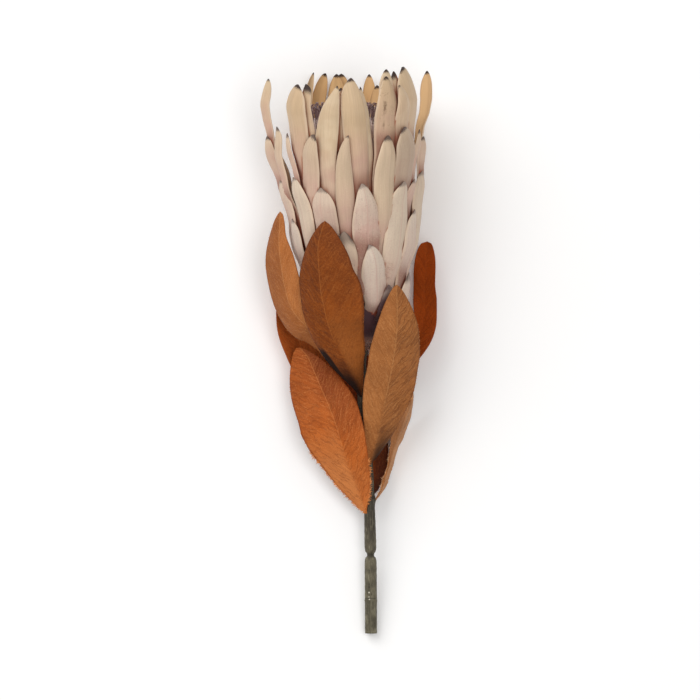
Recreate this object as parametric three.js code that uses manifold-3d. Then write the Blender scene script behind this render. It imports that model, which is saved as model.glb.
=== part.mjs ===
// A cut king protea with its stem and leaves, lying on the bracts of its under side and on its stem end.
// Millimetres, +Z up. It is shaped as it grew, +Y along the stem and +Z to its upper side, then laid down.
import * as THREE from 'three';
import { mergeVertices } from 'three/addons/utils/BufferGeometryUtils.js';
import Module from 'manifold-3d';

const wasm = await Module();
wasm.setup();

// Driving dimensions: heights are measured up the stem from its cut end
const flowerLength = 500;
const headBase = 250;
const rimRadius = 73.5;
const cutRadius = 5.3;
const layTilt = THREE.MathUtils.degToRad(8.2);
const clearance = 0.3;

// The middle line's sideways drift, as [height, offset]
const middleLine = [
  [0, 0],
  [69, -0.4],
  [104, -1.1],
  [149, -2.7],
  [190, -7],
  [232, -8.8],
  [headBase, -9.8],
  [294, -13.2],
  [347, -15.9],
  [400, -18.5],
  [440, -20.3],
  [flowerLength, -22.2],
];

// The outside of the closed head, as [height, radius]
const headOutline = [
  [headBase, 12],
  [257, 21],
  [265, 30],
  [276, 38.5],
  [290, 45.5],
  [308, 50],
  [330, 53.5],
  [350, 57.5],
  [400, 65.5],
  [435, 70.5],
  [465, rimRadius],
  [flowerLength, rimRadius],
];

// The woody receptacle inside the head's base, as [height, radius]
const receptacleOutline = [
  [headBase, 9],
  [257, 18],
  [266, 26],
  [278, 32],
  [292, 34.5],
  [302, 33],
];

// The stem, with the tight node low down and the swelling under the head, as [height, radius]
const stemOutline = [
  [0, cutRadius],
  [27, cutRadius],
  [28.5, 5.7],
  [31, cutRadius],
  [62, cutRadius],
  [66.5, 4.6],
  [68.2, 3.1],
  [70, 3.1],
  [72, 4.4],
  [77, 5.2],
  [95, 5],
  [112, 4.7],
  [150, 4.4],
  [215, 4.2],
  [240, 5],
  [headBase - clearance, 8],
];

const stemSides = 14;
const receptacleSides = 20;

// A smooth line through [at, value] points, read at one place
function curveAt(points, at) {
  const last = points.length - 1;
  const secant = (k) => (points[k + 1][1] - points[k][1]) / (points[k + 1][0] - points[k][0]);
  const slope = (k) => {
    if (k === 0) return secant(0);
    if (k === last) return secant(last - 1);
    const before = secant(k - 1);
    const after = secant(k);
    return before * after <= 0 ? 0 : (2 * before * after) / (before + after);
  };
  let k = 0;
  while (k < last - 1 && at > points[k + 1][0]) k += 1;
  const run = points[k + 1][0] - points[k][0];
  const t = THREE.MathUtils.clamp((at - points[k][0]) / run, 0, 1);
  const t2 = t * t;
  const t3 = t2 * t;
  return (
    (2 * t3 - 3 * t2 + 1) * points[k][1] +
    (t3 - 2 * t2 + t) * run * slope(k) +
    (3 * t2 - 2 * t3) * points[k + 1][1] +
    (t3 - t2) * run * slope(k + 1)
  );
}

const ease = (x) => THREE.MathUtils.smoothstep(x, 0, 1);

// A repeatable scatter between -0.5 and 0.5
function scatter(seed) {
  const wave = Math.sin(seed * 12.9898) * 43758.5453;
  return wave - Math.floor(wave) - 0.5;
}

// A point at a height, a distance from the middle line and a turn round it. Turn 0 is the upper side.
function pointAt(height, radius, turn) {
  return new THREE.Vector3(
    curveAt(middleLine, height) + radius * Math.sin(turn),
    height,
    radius * Math.cos(turn),
  );
}

// The surface that the flower lies on, and what presses against it
const surfaceAt = (height) => -(cutRadius + height * Math.tan(layTilt));
function pressed(point, lift) {
  point.z = Math.max(point.z, surfaceAt(point.y) + lift);
  return point;
}

// Closed solids

// A closed mesh from its points and triangles
function solidMesh(points, triangles) {
  const geometry = new THREE.BufferGeometry().setFromPoints(points);
  geometry.setIndex(triangles);
  return geometry;
}

// A blade from rows of points on its outer face and its inner face, both split into triangles alike
function bladeSolid(outer, inner) {
  const rows = outer.length;
  const wide = outer[0].length;
  const points = [...outer.flat(), ...inner.flat()];
  const top = (i, j) => i * wide + j;
  const under = (i, j) => rows * wide + i * wide + j;
  const triangles = [];
  const quad = (a, b, c, d) => triangles.push(a, b, c, a, c, d);
  for (let i = 0; i < rows - 1; i += 1) {
    for (let j = 0; j < wide - 1; j += 1) {
      quad(top(i, j), top(i, j + 1), top(i + 1, j + 1), top(i + 1, j));
      triangles.push(under(i, j), under(i + 1, j + 1), under(i, j + 1));
      triangles.push(under(i, j), under(i + 1, j), under(i + 1, j + 1));
    }
    quad(under(i, 0), top(i, 0), top(i + 1, 0), under(i + 1, 0));
    quad(top(i, wide - 1), under(i, wide - 1), under(i + 1, wide - 1), top(i + 1, wide - 1));
  }
  for (let j = 0; j < wide - 1; j += 1) {
    quad(under(0, j), under(0, j + 1), top(0, j + 1), top(0, j));
    quad(top(rows - 1, j), top(rows - 1, j + 1), under(rows - 1, j + 1), under(rows - 1, j));
  }
  return solidMesh(points, triangles);
}

// A rod from rings of points, closed at both ends
function rodSolid(rings) {
  const sides = rings[0].length;
  const points = rings.flat();
  const triangles = [];
  for (let i = 0; i < rings.length - 1; i += 1) {
    for (let j = 0; j < sides; j += 1) {
      const a = i * sides + j;
      const b = i * sides + ((j + 1) % sides);
      triangles.push(a, b, b + sides, a, b + sides, a + sides);
    }
  }
  const topRing = (rings.length - 1) * sides;
  for (let j = 1; j < sides - 1; j += 1) {
    triangles.push(0, j + 1, j);
    triangles.push(topRing, topRing + j, topRing + j + 1);
  }
  return solidMesh(points, triangles);
}

// A body turned round the middle line from [height, radius] points
function turnedSolid(outline, sides, radiusAt = (radius) => radius) {
  const rings = outline.map(([height, radius]) =>
    Array.from({ length: sides }, (_, j) => {
      const turn = (2 * Math.PI * j) / sides;
      return pressed(pointAt(height, radiusAt(radius, turn, height), turn), 0);
    }),
  );
  return rodSolid(rings);
}

function toManifold(geometry) {
  const bare = geometry.index ? geometry.toNonIndexed() : geometry.clone();
  bare.deleteAttribute('normal');
  bare.deleteAttribute('uv');
  const merged = mergeVertices(bare, 1e-4);
  return new wasm.Manifold(
    new wasm.Mesh({
      numProp: 3,
      vertProperties: new Float32Array(merged.attributes.position.array),
      triVerts: new Uint32Array(merged.index.array),
    }),
  );
}

// The solids joined in one. Hollows that the joining seals are filled, and loose scraps dropped.
function fused(geometries) {
  const joined = wasm.Manifold.union(geometries.map(toManifold));
  const bodies = joined.decompose();
  const largest = bodies.reduce((a, b) => (b.volume() > a.volume() ? b : a));
  const mesh = largest.getMesh();
  const geometry = new THREE.BufferGeometry();
  geometry.setAttribute('position', new THREE.BufferAttribute(mesh.vertProperties, 3));
  geometry.setIndex(new THREE.BufferAttribute(mesh.triVerts, 1));
  return geometry;
}

// Blades that grow out of the middle line, shared by bracts and leaves

// The directions at a point of a blade's midrib: across it and out of its outer face.
// facing is the turn that the outer face looks to.
function bladeAxes(along, facing) {
  const toward = new THREE.Vector3(Math.sin(facing), 0, Math.cos(facing));
  const out = toward.addScaledVector(along, -toward.dot(along)).normalize();
  const across = new THREE.Vector3().crossVectors(along, out);
  return { across, out };
}

// One row of a blade, outer and inner points, from its left edge to its right.
// Its edges bend in by the bow, a share of the half width.
function bladeRow({ centre, across, out, left, right, places, bow, thick }) {
  const outer = [];
  const inner = [];
  for (const place of places) {
    const half = place < 0 ? left : right;
    const surface = centre
      .clone()
      .addScaledVector(across, place * half)
      .addScaledVector(out, -bow * half * place * place);
    inner.push(pressed(surface.clone().addScaledVector(out, -thick), thick));
    outer.push(pressed(surface, 0));
  }
  return { outer, inner };
}

// Bracts: tiers from the tall rim to the short foot, each outside the one before.
// A bract's turn is in degrees from the upper side, its tip is a height, half is its half width and
// apex the length of its taper. lean shifts its tip sideways, sweep its upper half too, lift moves it
// out of its tier, curl bends its tip out and twist turns its face. The filled turns make the under
// side by rule.
const bractThick = 1.1;
const bractBow = 0.2;
const bractPlaces = [-1, 0, 1];
const bractTipPower = 0.64;
const bractFootPower = 1.7;
const bractLeastHalf = 0.9;
const bractTipFlat = 0.4;
const bractBodyShares = [0.8, 0.42, 0];
const bractApexShares = [0.48, 0.15];
const flatUnderTurn = 172;
const leanPower = 8;
const sweepPower = 3;
const tierGap = 5;
const reachTurn = 25;
const reachFade = 26;
const rootRise = 22;
const rootSink = 4;
const rootLiftShare = 0.8;
const fillLift = 0.9;
const curlLength = 40;
const tangentStep = 0.5;
const plainBract = { lean: 0, sweep: 0, lift: 0, curl: -1.5, twist: 0 };

const tiers = [
  {
    root: 294,
    foot: 0.4,
    listed: [
      { turn: -87, tip: 489.2, half: 6.8, apex: 24, lift: 4.3, curl: -7.7, twist: 45 },
      { turn: -45.5, tip: 480.5, half: 12, apex: 24, lean: 10, sweep: 2.5, lift: 0.8 },
      { turn: -35, tip: 482, half: 5.2, apex: 18, lean: 4.6, lift: -4 },
      { turn: -20.8, tip: 478.4, half: 9.4, apex: 40, lean: 13.8, sweep: 4.7, lift: 1 },
      { turn: -5, tip: 477, half: 5.5, apex: 18, lean: 1, lift: -4.4 },
      { turn: 9.4, tip: 485.2, half: 9.8, apex: 37, lean: -1.4, sweep: -6.3, lift: 1 },
      { turn: 16.5, tip: 477, half: 7, apex: 24, lean: -1.5, sweep: -6.5, lift: -4.2 },
      { turn: 33, tip: 487.3, half: 11.2, apex: 37, lean: -1.6, sweep: -3.7, lift: 0.5 },
      { turn: 31, tip: 493.7, half: 7.5, apex: 22, lift: -2.8 },
      { turn: 46, tip: 492.5, half: 6, apex: 18, lean: -4, sweep: -4, lift: -5.4 },
      { turn: 56.5, tip: 496.2, half: 15.5, apex: 30, lean: -17.5, sweep: 2, lift: -1.6 },
      { turn: 50, tip: 479.5, half: 9.5, apex: 34, lean: -18, lift: 0.8, curl: 1.6 },
      { turn: 101, tip: 497.5, half: 7.7, apex: 26, lift: 0.2, curl: 0.7, twist: 36 },
      { turn: 156, tip: 488, half: 8, apex: 24, lift: -3 },
      { turn: 163, tip: 498.3, half: 6, apex: 22, lift: 0.6 },
      { turn: 183.5, tip: 499, half: 9, apex: 24, lift: 0.8 },
      { turn: 187, tip: 498.5, half: 8, apex: 24, lift: -2.4 },
      { turn: 203, tip: 499.4, half: 6, apex: 22, lean: -7, sweep: -4, lift: 0.6 },
      { turn: 206, tip: 499.4, half: 8, apex: 34, lean: -1.5, lift: -3, twist: 44 },
      { turn: 218, tip: 474, half: 8.5, apex: 26, lift: 0.6 },
    ],
    filled: { turns: [124, 142], tip: 487, half: 9.4, apex: 30 },
  },
  {
    root: 287,
    foot: 0.42,
    listed: [
      { turn: -86, tip: 438.5, half: 9, apex: 30, lift: 3.3, curl: -1.4, twist: 38 },
      { turn: -73, tip: 446, half: 8, apex: 16, lift: 1.9, curl: -7 },
      { turn: -54.5, tip: 439, half: 4, apex: 21, lean: -2, sweep: 5, lift: -0.6 },
      { turn: -42, tip: 436.6, half: 9.4, apex: 24, lean: 10.5, sweep: 11 },
      { turn: -4.6, tip: 435.7, half: 9, apex: 68, lean: 9, sweep: -3.4 },
      { turn: 33, tip: 436.3, half: 10.2, apex: 31, sweep: -2.6 },
      { turn: 54.5, tip: 443.5, half: 13.5, apex: 18, lean: -14, lift: 0.8 },
      { turn: 69, tip: 443.5, half: 7, apex: 30, lift: -1.4 },
      { turn: 90, tip: 438.6, half: 7, apex: 16, lift: 4.1, curl: -6.9, twist: -30 },
    ],
    filled: { turns: [110, 130, 148, 165, 180, 193, 206, 219, 265], tip: 440, half: 10.4, apex: 36 },
  },
  {
    root: 279,
    foot: 0.4,
    listed: [
      { turn: -81, tip: 399.5, half: 13, apex: 23.5, lean: -4, lift: 1.5, curl: -3.2 },
      { turn: -55, tip: 401, half: 6, apex: 24, lift: -2 },
      { turn: -49.5, tip: 399.8, half: 8.5, apex: 24, lift: 1 },
      { turn: -30, tip: 391, half: 12, apex: 21, sweep: 5, lift: -1.2 },
      { turn: 15.5, tip: 394.3, half: 12.7, apex: 44, lean: -3.7, sweep: -3 },
      { turn: 50, tip: 397, half: 14.6, apex: 36, lean: -6, sweep: 4, lift: 0.9 },
      { turn: 68, tip: 400, half: 10, apex: 34, lift: -1.5 },
      { turn: 88, tip: 408.2, half: 12, apex: 24, lift: 5.3, curl: -6.3, twist: -20 },
    ],
    filled: { turns: [96, 118, 139, 160, 180, 202, 223, 245, 268], tip: 398, half: 10.8, apex: 36 },
  },
  {
    root: 270,
    foot: 0.36,
    listed: [
      { turn: -86, tip: 362, half: 10, apex: 34, lift: -1 },
      { turn: -60.5, tip: 365, half: 8.5, apex: 32, lean: 1, lift: 1 },
      { turn: -33, tip: 352, half: 11, apex: 34, lift: -1.2 },
      { turn: -8, tip: 353, half: 9.8, apex: 25, lift: -0.6 },
      { turn: 25.5, tip: 341.6, half: 11.8, apex: 26, lean: -3.5, sweep: -7.5, lift: 1 },
      { turn: 74.5, tip: 373.5, half: 14, apex: 36, lean: -3 },
    ],
    filled: { turns: [84, 107, 131, 155, 180, 204, 227, 250], tip: 355, half: 11.6, apex: 34 },
  },
  {
    root: 260,
    foot: 0.36,
    listed: [
      { turn: -48, tip: 314, half: 11.4, apex: 28, lift: 1 },
      { turn: -20, tip: 308, half: 11.4, apex: 26, lift: -1.2 },
      { turn: 7, tip: 276, half: 8, apex: 20, lift: 0.8 },
      { turn: 44, tip: 307, half: 10, apex: 28, sweep: -4, lift: -0.8 },
      { turn: 75, tip: 318, half: 11, apex: 32, lift: 1 },
    ],
    filled: { turns: [103, 128, 155, 180, 206, 232, 259, 285], tip: 312, half: 11.4, apex: 27 },
  },
];

// Every bract of a tier. Those of the rule have a small scatter.
function bractsOf(tier, tierIndex) {
  const filled = tier.filled.turns.map((turn, i) => {
    const seed = tierIndex * 40 + i;
    return {
      turn: turn + 2 * scatter(seed + 0.1),
      tip: tier.filled.tip + 9 * scatter(seed + 0.3),
      half: tier.filled.half + 1.6 * scatter(seed + 0.5),
      apex: tier.filled.apex + 8 * scatter(seed + 0.7),
      lean: 4 * scatter(seed + 0.9),
      lift: i % 2 ? fillLift : -fillLift,
    };
  });
  return [...tier.listed, ...filled].map((bract) => ({ ...plainBract, ...bract }));
}

const allBracts = tiers.map(bractsOf);

// The angle between two turns, in degrees
const turnsApart = (a, b) => Math.abs(THREE.MathUtils.euclideanModulo(a - b + 180, 360) - 180);

// How high a tier reaches over a bract of a tier inside it
function reachOver(bract, outerTier) {
  const near = outerTier.filter((outer) => turnsApart(outer.turn, bract.turn) < reachTurn);
  return Math.max(0, ...near.map((outer) => outer.tip));
}

// How far from the middle line a bract's outer face lies at a height
function bractRadius(bract, tierIndex, height) {
  const reaches = allBracts.slice(tierIndex + 1).map((outerTier) => reachOver(bract, outerTier));
  const covers = reaches.map((reach) => ease(1 - (height - reach) / reachFade));
  const covered = covers.reduce((sum, cover) => sum + cover, 0);
  const layer = curveAt(headOutline, height) - tierGap * covered + bract.lift;
  const rootHeight = tiers[tierIndex].root;
  const root = curveAt(receptacleOutline, rootHeight) - rootSink + rootLiftShare * bract.lift;
  const rise = ease((height - rootHeight) / rootRise);
  const bend = ease(1 - (bract.tip - height) / curlLength);
  return THREE.MathUtils.lerp(root, layer, rise) + bract.curl * bend;
}

// A bract's half width at a distance down from its tip
function bractHalf(bract, tier, down) {
  if (down < bract.apex) return bract.half * (1 - (1 - down / bract.apex) ** 2) ** bractTipPower;
  const below = (down - bract.apex) / (bract.tip - tier.root - bract.apex);
  return bract.half * (1 - (1 - tier.foot) * below ** bractFootPower);
}

function bractSolid(bract, tierIndex) {
  const tier = tiers[tierIndex];
  const turn = THREE.MathUtils.degToRad(bract.turn);
  const length = bract.tip - tier.root;
  const body = length - bract.apex;
  const sideways = new THREE.Vector3(Math.cos(turn), 0, -Math.sin(turn));
  const centreAt = (height) => {
    const share = THREE.MathUtils.clamp((height - tier.root) / length, 0, 1);
    const onLayer = pointAt(height, bractRadius(bract, tierIndex, height), turn);
    const shift = bract.lean * share ** leanPower + bract.sweep * share ** sweepPower;
    return onLayer.addScaledVector(sideways, shift);
  };
  const downs = [
    length,
    ...bractBodyShares.map((share) => bract.apex + body * share),
    ...bractApexShares.map((share) => bract.apex * share),
    bractTipFlat,
  ];
  const rows = downs.map((down) => {
    const height = bract.tip - down;
    const along = centreAt(height + tangentStep).sub(centreAt(height - tangentStep)).normalize();
    const half = Math.max(bractHalf(bract, tier, down), bractLeastHalf);
    return bladeRow({
      centre: centreAt(height),
      ...bladeAxes(along, turn + THREE.MathUtils.degToRad(bract.twist) * (1 - down / length) ** 2),
      left: half,
      right: half,
      places: bractPlaces,
      bow: turnsApart(bract.turn, 0) > flatUnderTurn ? 0 : bractBow,
      thick: bractThick,
    });
  });
  return bladeSolid(rows.map((row) => row.outer), rows.map((row) => row.inner));
}

// The head: every bract rooted in the receptacle
function headSolid() {
  const bracts = allBracts.flatMap((tier, i) => tier.map((bract) => bractSolid(bract, i)));
  return fused([turnedSolid(receptacleOutline, receptacleSides), ...bracts]);
}

// The floret mass inside the head: a fluted column of floret tubes under a dense crown of standing styles
const floretColumn = [
  [302 + clearance, 20],
  [320, 24],
  [350, 33],
  [400, 42],
  [436, 45],
  [450, 38],
  [456, 18],
];
const flutes = 16;
const fluteRelief = 0.05;
const fluteTop = 450;
const styleCount = 120;
const styleSides = 3;
const styleRadii = [1.7, 1.5, 0.5];
const styleFoot = { radius: 38, height: 446, droop: 14 };
const styleTop = { radius: 47, height: 469, droop: 5 };
const styleScatter = { radius: 3, height: 6, turn: 0.12 };
const goldenTurn = Math.PI * (3 - Math.sqrt(5));

// One standing style, from inside the column to the crown. The styles are spread like seeds in a disc.
function styleSolid(index) {
  const share = Math.sqrt((index + 0.5) / styleCount);
  const turn = index * goldenTurn;
  const footRadius = styleFoot.radius * share;
  const footHeight = styleFoot.height - styleFoot.droop * share ** 4;
  const topRadius = styleTop.radius * share + styleScatter.radius * scatter(index + 0.2);
  const topHeight = styleTop.height - styleTop.droop * share + styleScatter.height * scatter(index + 0.4);
  const sway = styleScatter.turn * scatter(index + 0.6);
  const middleHeight = (footHeight + topHeight) / 2;
  const middleRadius = (footRadius + topRadius) / 2;
  const centres = [
    pointAt(footHeight, footRadius, turn),
    pointAt(middleHeight, middleRadius, turn + sway / 2),
    pointAt(topHeight, topRadius, turn + sway),
  ];
  const rings = centres.map((centre, i) =>
    Array.from({ length: styleSides }, (_, j) => {
      const angle = turn + (j * 2 * Math.PI) / styleSides;
      const spoke = new THREE.Vector3(Math.sin(angle), 0, Math.cos(angle));
      return spoke.multiplyScalar(styleRadii[i]).add(centre);
    }),
  );
  return rodSolid(rings);
}

function floretSolid() {
  const column = turnedSolid(floretColumn, 2 * flutes, (radius, turn, height) => {
    const relief = height < fluteTop ? fluteRelief : 0;
    return radius * (1 + relief * Math.cos(flutes * turn));
  });
  const styles = Array.from({ length: styleCount }, (_, i) => styleSolid(i));
  return fused([column, ...styles]);
}

// Leaves: each is attached at a height and a turn of the stem, in degrees. From there its midrib runs
// through points across, along and above the stem's foot line. left and right are its half widths,
// fullest the place of each half's greatest width, facing the turns that its outer face looks to at
// its base and tip, bow how far its edges bend in, and power how sharp its outline is at both ends.
const leafThick = 0.8;
const leafLeastHalf = 1.2;
const leafPlaces = [-1, -0.5, 0, 0.5, 1];
const leafShares = [0, 0.05, 0.13, 0.26, 0.42, 0.58, 0.73, 0.86, 0.95, 1];
const leaves = [
  {
    name: 'leaf_left',
    height: 217,
    turn: -70,
    rib: [[-23, 233, 10], [-48, 265, 22], [-70, 288, 20.5], [-84, 343, 12], [-80.6, 370, 6]],
    facing: [-54, -48],
    left: 24.5,
    right: 21.4,
    fullest: [0.49, 0.5],
    power: 0.59,
    bow: 0.16,
  },
  {
    name: 'leaf_upper_left',
    height: 209,
    turn: -12,
    rib: [[-29, 235, 24], [-45, 269, 36], [-46.4, 317, 50], [-44.6, 334, 54], [-40.4, 362, 57]],
    facing: [-20, -26],
    left: 19,
    right: 41,
    fullest: [0.71, 0.54],
    power: 0.72,
    bow: 0.2,
  },
  {
    name: 'leaf_lower_left',
    height: 106,
    turn: -32,
    rib: [[-10.4, 132, 12], [-22, 165, 19], [-33, 192, 16], [-49, 220.4, 1.4], [-66, 252, -10.5]],
    facing: [-22, -14],
    left: 36,
    right: 23,
    fullest: [0.53, 0.61],
    power: 0.65,
    bow: 0.18,
  },
  {
    name: 'leaf_upper_right',
    height: 149,
    turn: 15,
    rib: [[3.6, 167, 13], [11.5, 203, 25], [18.5, 237, 32], [22.4, 269, 39], [22.1, 307, 42]],
    facing: [15, 25],
    left: 22,
    right: 27,
    fullest: [0.56, 0.55],
    power: 0.69,
    bow: 0.18,
  },
  {
    name: 'leaf_right',
    height: 212,
    turn: 132,
    rib: [[6.2, 231, -14], [30, 244, -20], [46, 270.5, -24], [48, 308, -29], [50.3, 346.7, -32]],
    facing: [140, 150],
    left: 14.7,
    right: 11.6,
    fullest: [0.5, 0.8],
    power: 0.35,
    bow: 0.14,
  },
  {
    name: 'leaf_under_left',
    height: 165,
    turn: -128,
    rib: [[-17, 184, -16], [-50.5, 228, -27], [-70, 276, -29], [-74.4, 323, -30]],
    facing: [-140, -145],
    left: 24,
    right: 21,
    fullest: [0.54, 0.57],
    power: 0.65,
    bow: 0.14,
  },
  {
    name: 'leaf_lower_right',
    height: 118,
    turn: 80,
    rib: [[9.4, 128, -2], [22.5, 169.5, -8], [35, 201, -9.5], [37.5, 212, -10]],
    facing: [70, 65],
    left: 16,
    right: 22,
    fullest: [0.5, 0.52],
    power: 0.65,
    bow: 0.24,
  },
  {
    name: 'leaf_under_right',
    height: 121,
    turn: 160,
    rib: [[3, 137, -11], [3, 157, -18], [-1, 205, -29], [-3, 230, -32]],
    facing: [170, 178],
    left: 13,
    right: 14,
    fullest: [0.45, 0.45],
    power: 0.68,
    bow: 0.12,
  },
  {
    name: 'leaf_under',
    height: 190,
    turn: -170,
    rib: [[-14, 214, -20], [-20, 243, -34], [-22, 280, -43]],
    facing: [-170, -176],
    left: 19,
    right: 18,
    fullest: [0.52, 0.52],
    power: 0.68,
    bow: 0.06,
  },
];

// A leaf's half width at a share of its midrib, as a share of its greatest
function leafOutline(share, fullest, power) {
  const shifted = share ** (Math.log(0.5) / Math.log(fullest));
  return Math.max(Math.sin(Math.PI * shifted), 0) ** power;
}

function leafSolid(leaf) {
  const foot = curveAt(stemOutline, leaf.height) + clearance + leafThick;
  const base = pointAt(leaf.height, foot, THREE.MathUtils.degToRad(leaf.turn));
  const rib = new THREE.CatmullRomCurve3([base, ...leaf.rib.map((point) => new THREE.Vector3(...point))]);
  const [facingBase, facingTip] = leaf.facing.map((turn) => THREE.MathUtils.degToRad(turn));
  const rows = leafShares.map((share) => {
    const [leftFull, rightFull] = leaf.fullest.map((at) => leafOutline(share, at, leaf.power));
    return bladeRow({
      centre: rib.getPointAt(share),
      ...bladeAxes(rib.getTangentAt(share), THREE.MathUtils.lerp(facingBase, facingTip, share)),
      left: Math.max(leaf.left * leftFull, leafLeastHalf),
      right: Math.max(leaf.right * rightFull, leafLeastHalf),
      places: leafPlaces,
      bow: leaf.bow,
      thick: leafThick,
    });
  });
  return bladeSolid(rows.map((row) => row.outer), rows.map((row) => row.inner));
}

// Put together
const finishes = {
  stem: { color: '#57523f', roughness: 0.7 },
  bracts: { color: '#cdb9a1', roughness: 0.65 },
  florets: { color: '#8d747a', roughness: 0.9 },
  leaves: { color: '#96542a', roughness: 0.75 },
};
const material = (finish) => new THREE.MeshStandardMaterial({ ...finish, metalness: 0 });

const flower = new THREE.Group();
function addPiece(name, geometry, finish) {
  const piece = new THREE.Mesh(geometry, material(finish));
  piece.name = name;
  flower.add(piece);
}

addPiece('stem', turnedSolid(stemOutline, stemSides), finishes.stem);
addPiece('head_bracts', headSolid(), finishes.bracts);
addPiece('florets', floretSolid(), finishes.florets);
for (const leaf of leaves) addPiece(leaf.name, leafSolid(leaf), finishes.leaves);

// Laid down: the axis rises from the cut end, and the origin is under the middle of the whole
flower.rotation.x = layTilt;
flower.updateMatrixWorld(true);
const box = new THREE.Box3().setFromObject(flower, true);
const middle = box.getCenter(new THREE.Vector3());
flower.position.set(-middle.x, -middle.y, -box.min.z);

export default flower;
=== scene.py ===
import math

import bpy
import numpy as np
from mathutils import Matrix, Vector
from mathutils.bvhtree import BVHTree


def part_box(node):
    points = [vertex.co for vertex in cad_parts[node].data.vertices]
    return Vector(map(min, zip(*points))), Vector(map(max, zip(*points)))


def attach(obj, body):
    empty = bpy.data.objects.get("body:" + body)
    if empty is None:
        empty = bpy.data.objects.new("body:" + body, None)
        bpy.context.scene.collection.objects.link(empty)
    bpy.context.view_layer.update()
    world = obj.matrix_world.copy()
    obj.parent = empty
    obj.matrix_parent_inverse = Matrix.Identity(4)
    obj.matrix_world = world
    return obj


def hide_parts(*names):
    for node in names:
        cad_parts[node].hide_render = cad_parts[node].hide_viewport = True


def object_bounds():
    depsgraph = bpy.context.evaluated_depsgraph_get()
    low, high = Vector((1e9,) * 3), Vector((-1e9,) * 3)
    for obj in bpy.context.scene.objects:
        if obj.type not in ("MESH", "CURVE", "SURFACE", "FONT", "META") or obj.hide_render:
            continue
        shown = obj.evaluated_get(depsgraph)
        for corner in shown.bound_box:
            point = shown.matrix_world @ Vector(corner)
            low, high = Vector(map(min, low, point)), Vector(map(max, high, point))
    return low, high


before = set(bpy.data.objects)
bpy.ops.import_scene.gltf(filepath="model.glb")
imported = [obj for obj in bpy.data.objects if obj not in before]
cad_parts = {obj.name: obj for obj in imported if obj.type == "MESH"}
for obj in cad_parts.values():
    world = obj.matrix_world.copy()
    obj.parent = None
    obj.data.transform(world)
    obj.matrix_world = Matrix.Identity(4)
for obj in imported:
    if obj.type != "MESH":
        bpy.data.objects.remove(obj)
cadLow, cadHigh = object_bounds()
print("frame loaded:", len(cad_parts), "nodes")

# A cut king protea lying on its under side. Everything is worked out as the flower grew,
# in mm with heights up the stem from its cut end, and placed on the frame at the end.
growth = {
    "length": 500,
    "headBase": 250,
    "rimRadius": 73.5,
    "cutRadius": 5.3,
    "layTilt": math.radians(8.2),
    "stemSides": 14,
    "clearance": 0.3,
    "inset": 0.05,  # how far the visible pieces stay inside the frame's box
}
goldenTurn = math.pi * (3 - math.sqrt(5))

middleLine = [
    [0, 0], [69, -0.4], [104, -1.1], [149, -2.7], [190, -7], [232, -8.8], [growth["headBase"], -9.8],
    [294, -13.2], [347, -15.9], [400, -18.5], [440, -20.3], [growth["length"], -22.2],
]
headOutline = [
    [growth["headBase"], 12], [257, 21], [265, 30], [276, 38.5], [290, 45.5], [308, 50], [330, 53.5],
    [350, 57.5], [400, 65.5], [435, 70.5], [465, growth["rimRadius"]],
    [growth["length"], growth["rimRadius"]],
]
receptacleOutline = [[growth["headBase"], 9], [257, 18], [266, 26], [278, 32], [292, 34.5], [302, 33]]
stemOutline = [
    [0, growth["cutRadius"]], [27, growth["cutRadius"]], [28.5, 5.7], [31, growth["cutRadius"]],
    [62, growth["cutRadius"]], [66.5, 4.6], [68.2, 3.1], [70, 3.1], [72, 4.4], [77, 5.2], [95, 5],
    [112, 4.7], [150, 4.4], [215, 4.2], [240, 5], [growth["headBase"] - growth["clearance"], 8],
]


def curveAt(points, at):
    # a smooth line through [at, value] points, read at many places
    x, y = np.array(points, float).T
    run = np.diff(x)
    secant = np.diff(y) / run
    slope = np.zeros(len(x))
    slope[0], slope[-1] = secant[0], secant[-1]
    before, after = secant[:-1], secant[1:]
    bending = before * after > 0
    slope[1:-1][bending] = (2 * before * after)[bending] / (before + after)[bending]
    at = np.asarray(at, float)
    k = np.clip(np.searchsorted(x, at, side="right") - 1, 0, len(run) - 1)
    t = np.clip((at - x[k]) / run[k], 0, 1)
    start = (2 * t**3 - 3 * t**2 + 1) * y[k] + (t**3 - 2 * t**2 + t) * run[k] * slope[k]
    end = (3 * t**2 - 2 * t**3) * y[k + 1] + (t**3 - t**2) * run[k] * slope[k + 1]
    return start + end


def ease(x):
    t = np.clip(x, 0, 1)
    return t * t * (3 - 2 * t)


def lerp(a, b, t):
    return a + (b - a) * t


def scatter(seed):
    # a repeatable scatter between -0.5 and 0.5
    wave = math.sin(seed * 12.9898) * 43758.5453
    return wave - math.floor(wave) - 0.5


def varied(middleAndSize, seed):
    # a value that is a little different for each seed
    middle, size = middleAndSize
    return middle + size * scatter(seed)


def wavesAlong(listed, share, seed, beside=0):
    # a sum of waves, each listed as its size, its bends, and how far the seed and the place beside move it
    phases = ((size, share * bends + seed * own + beside * cross) for size, bends, own, cross in listed)
    return sum(size * np.sin(phase) for size, phase in phases)


def unit(v):
    return v / np.maximum(np.linalg.norm(v, axis=-1, keepdims=True), 1e-9)


def outwardAt(turn):
    # a turn is in radians, and 0 is the upper side
    return np.stack([np.sin(turn), np.zeros_like(turn, float), np.cos(turn)], -1)


def pointAt(height, radius, turn):
    height, radius, turn = np.broadcast_arrays(*(np.asarray(v, float) for v in (height, radius, turn)))
    return np.stack([curveAt(middleLine, height) + radius * np.sin(turn), height, radius * np.cos(turn)], -1)


def pressed(points, lift):
    # what lies on the surface is pressed flat there
    floorAt = -(growth["cutRadius"] + points[..., 1] * math.tan(growth["layTilt"]))
    points[..., 2] = np.maximum(points[..., 2], floorAt + lift)
    return points


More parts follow.
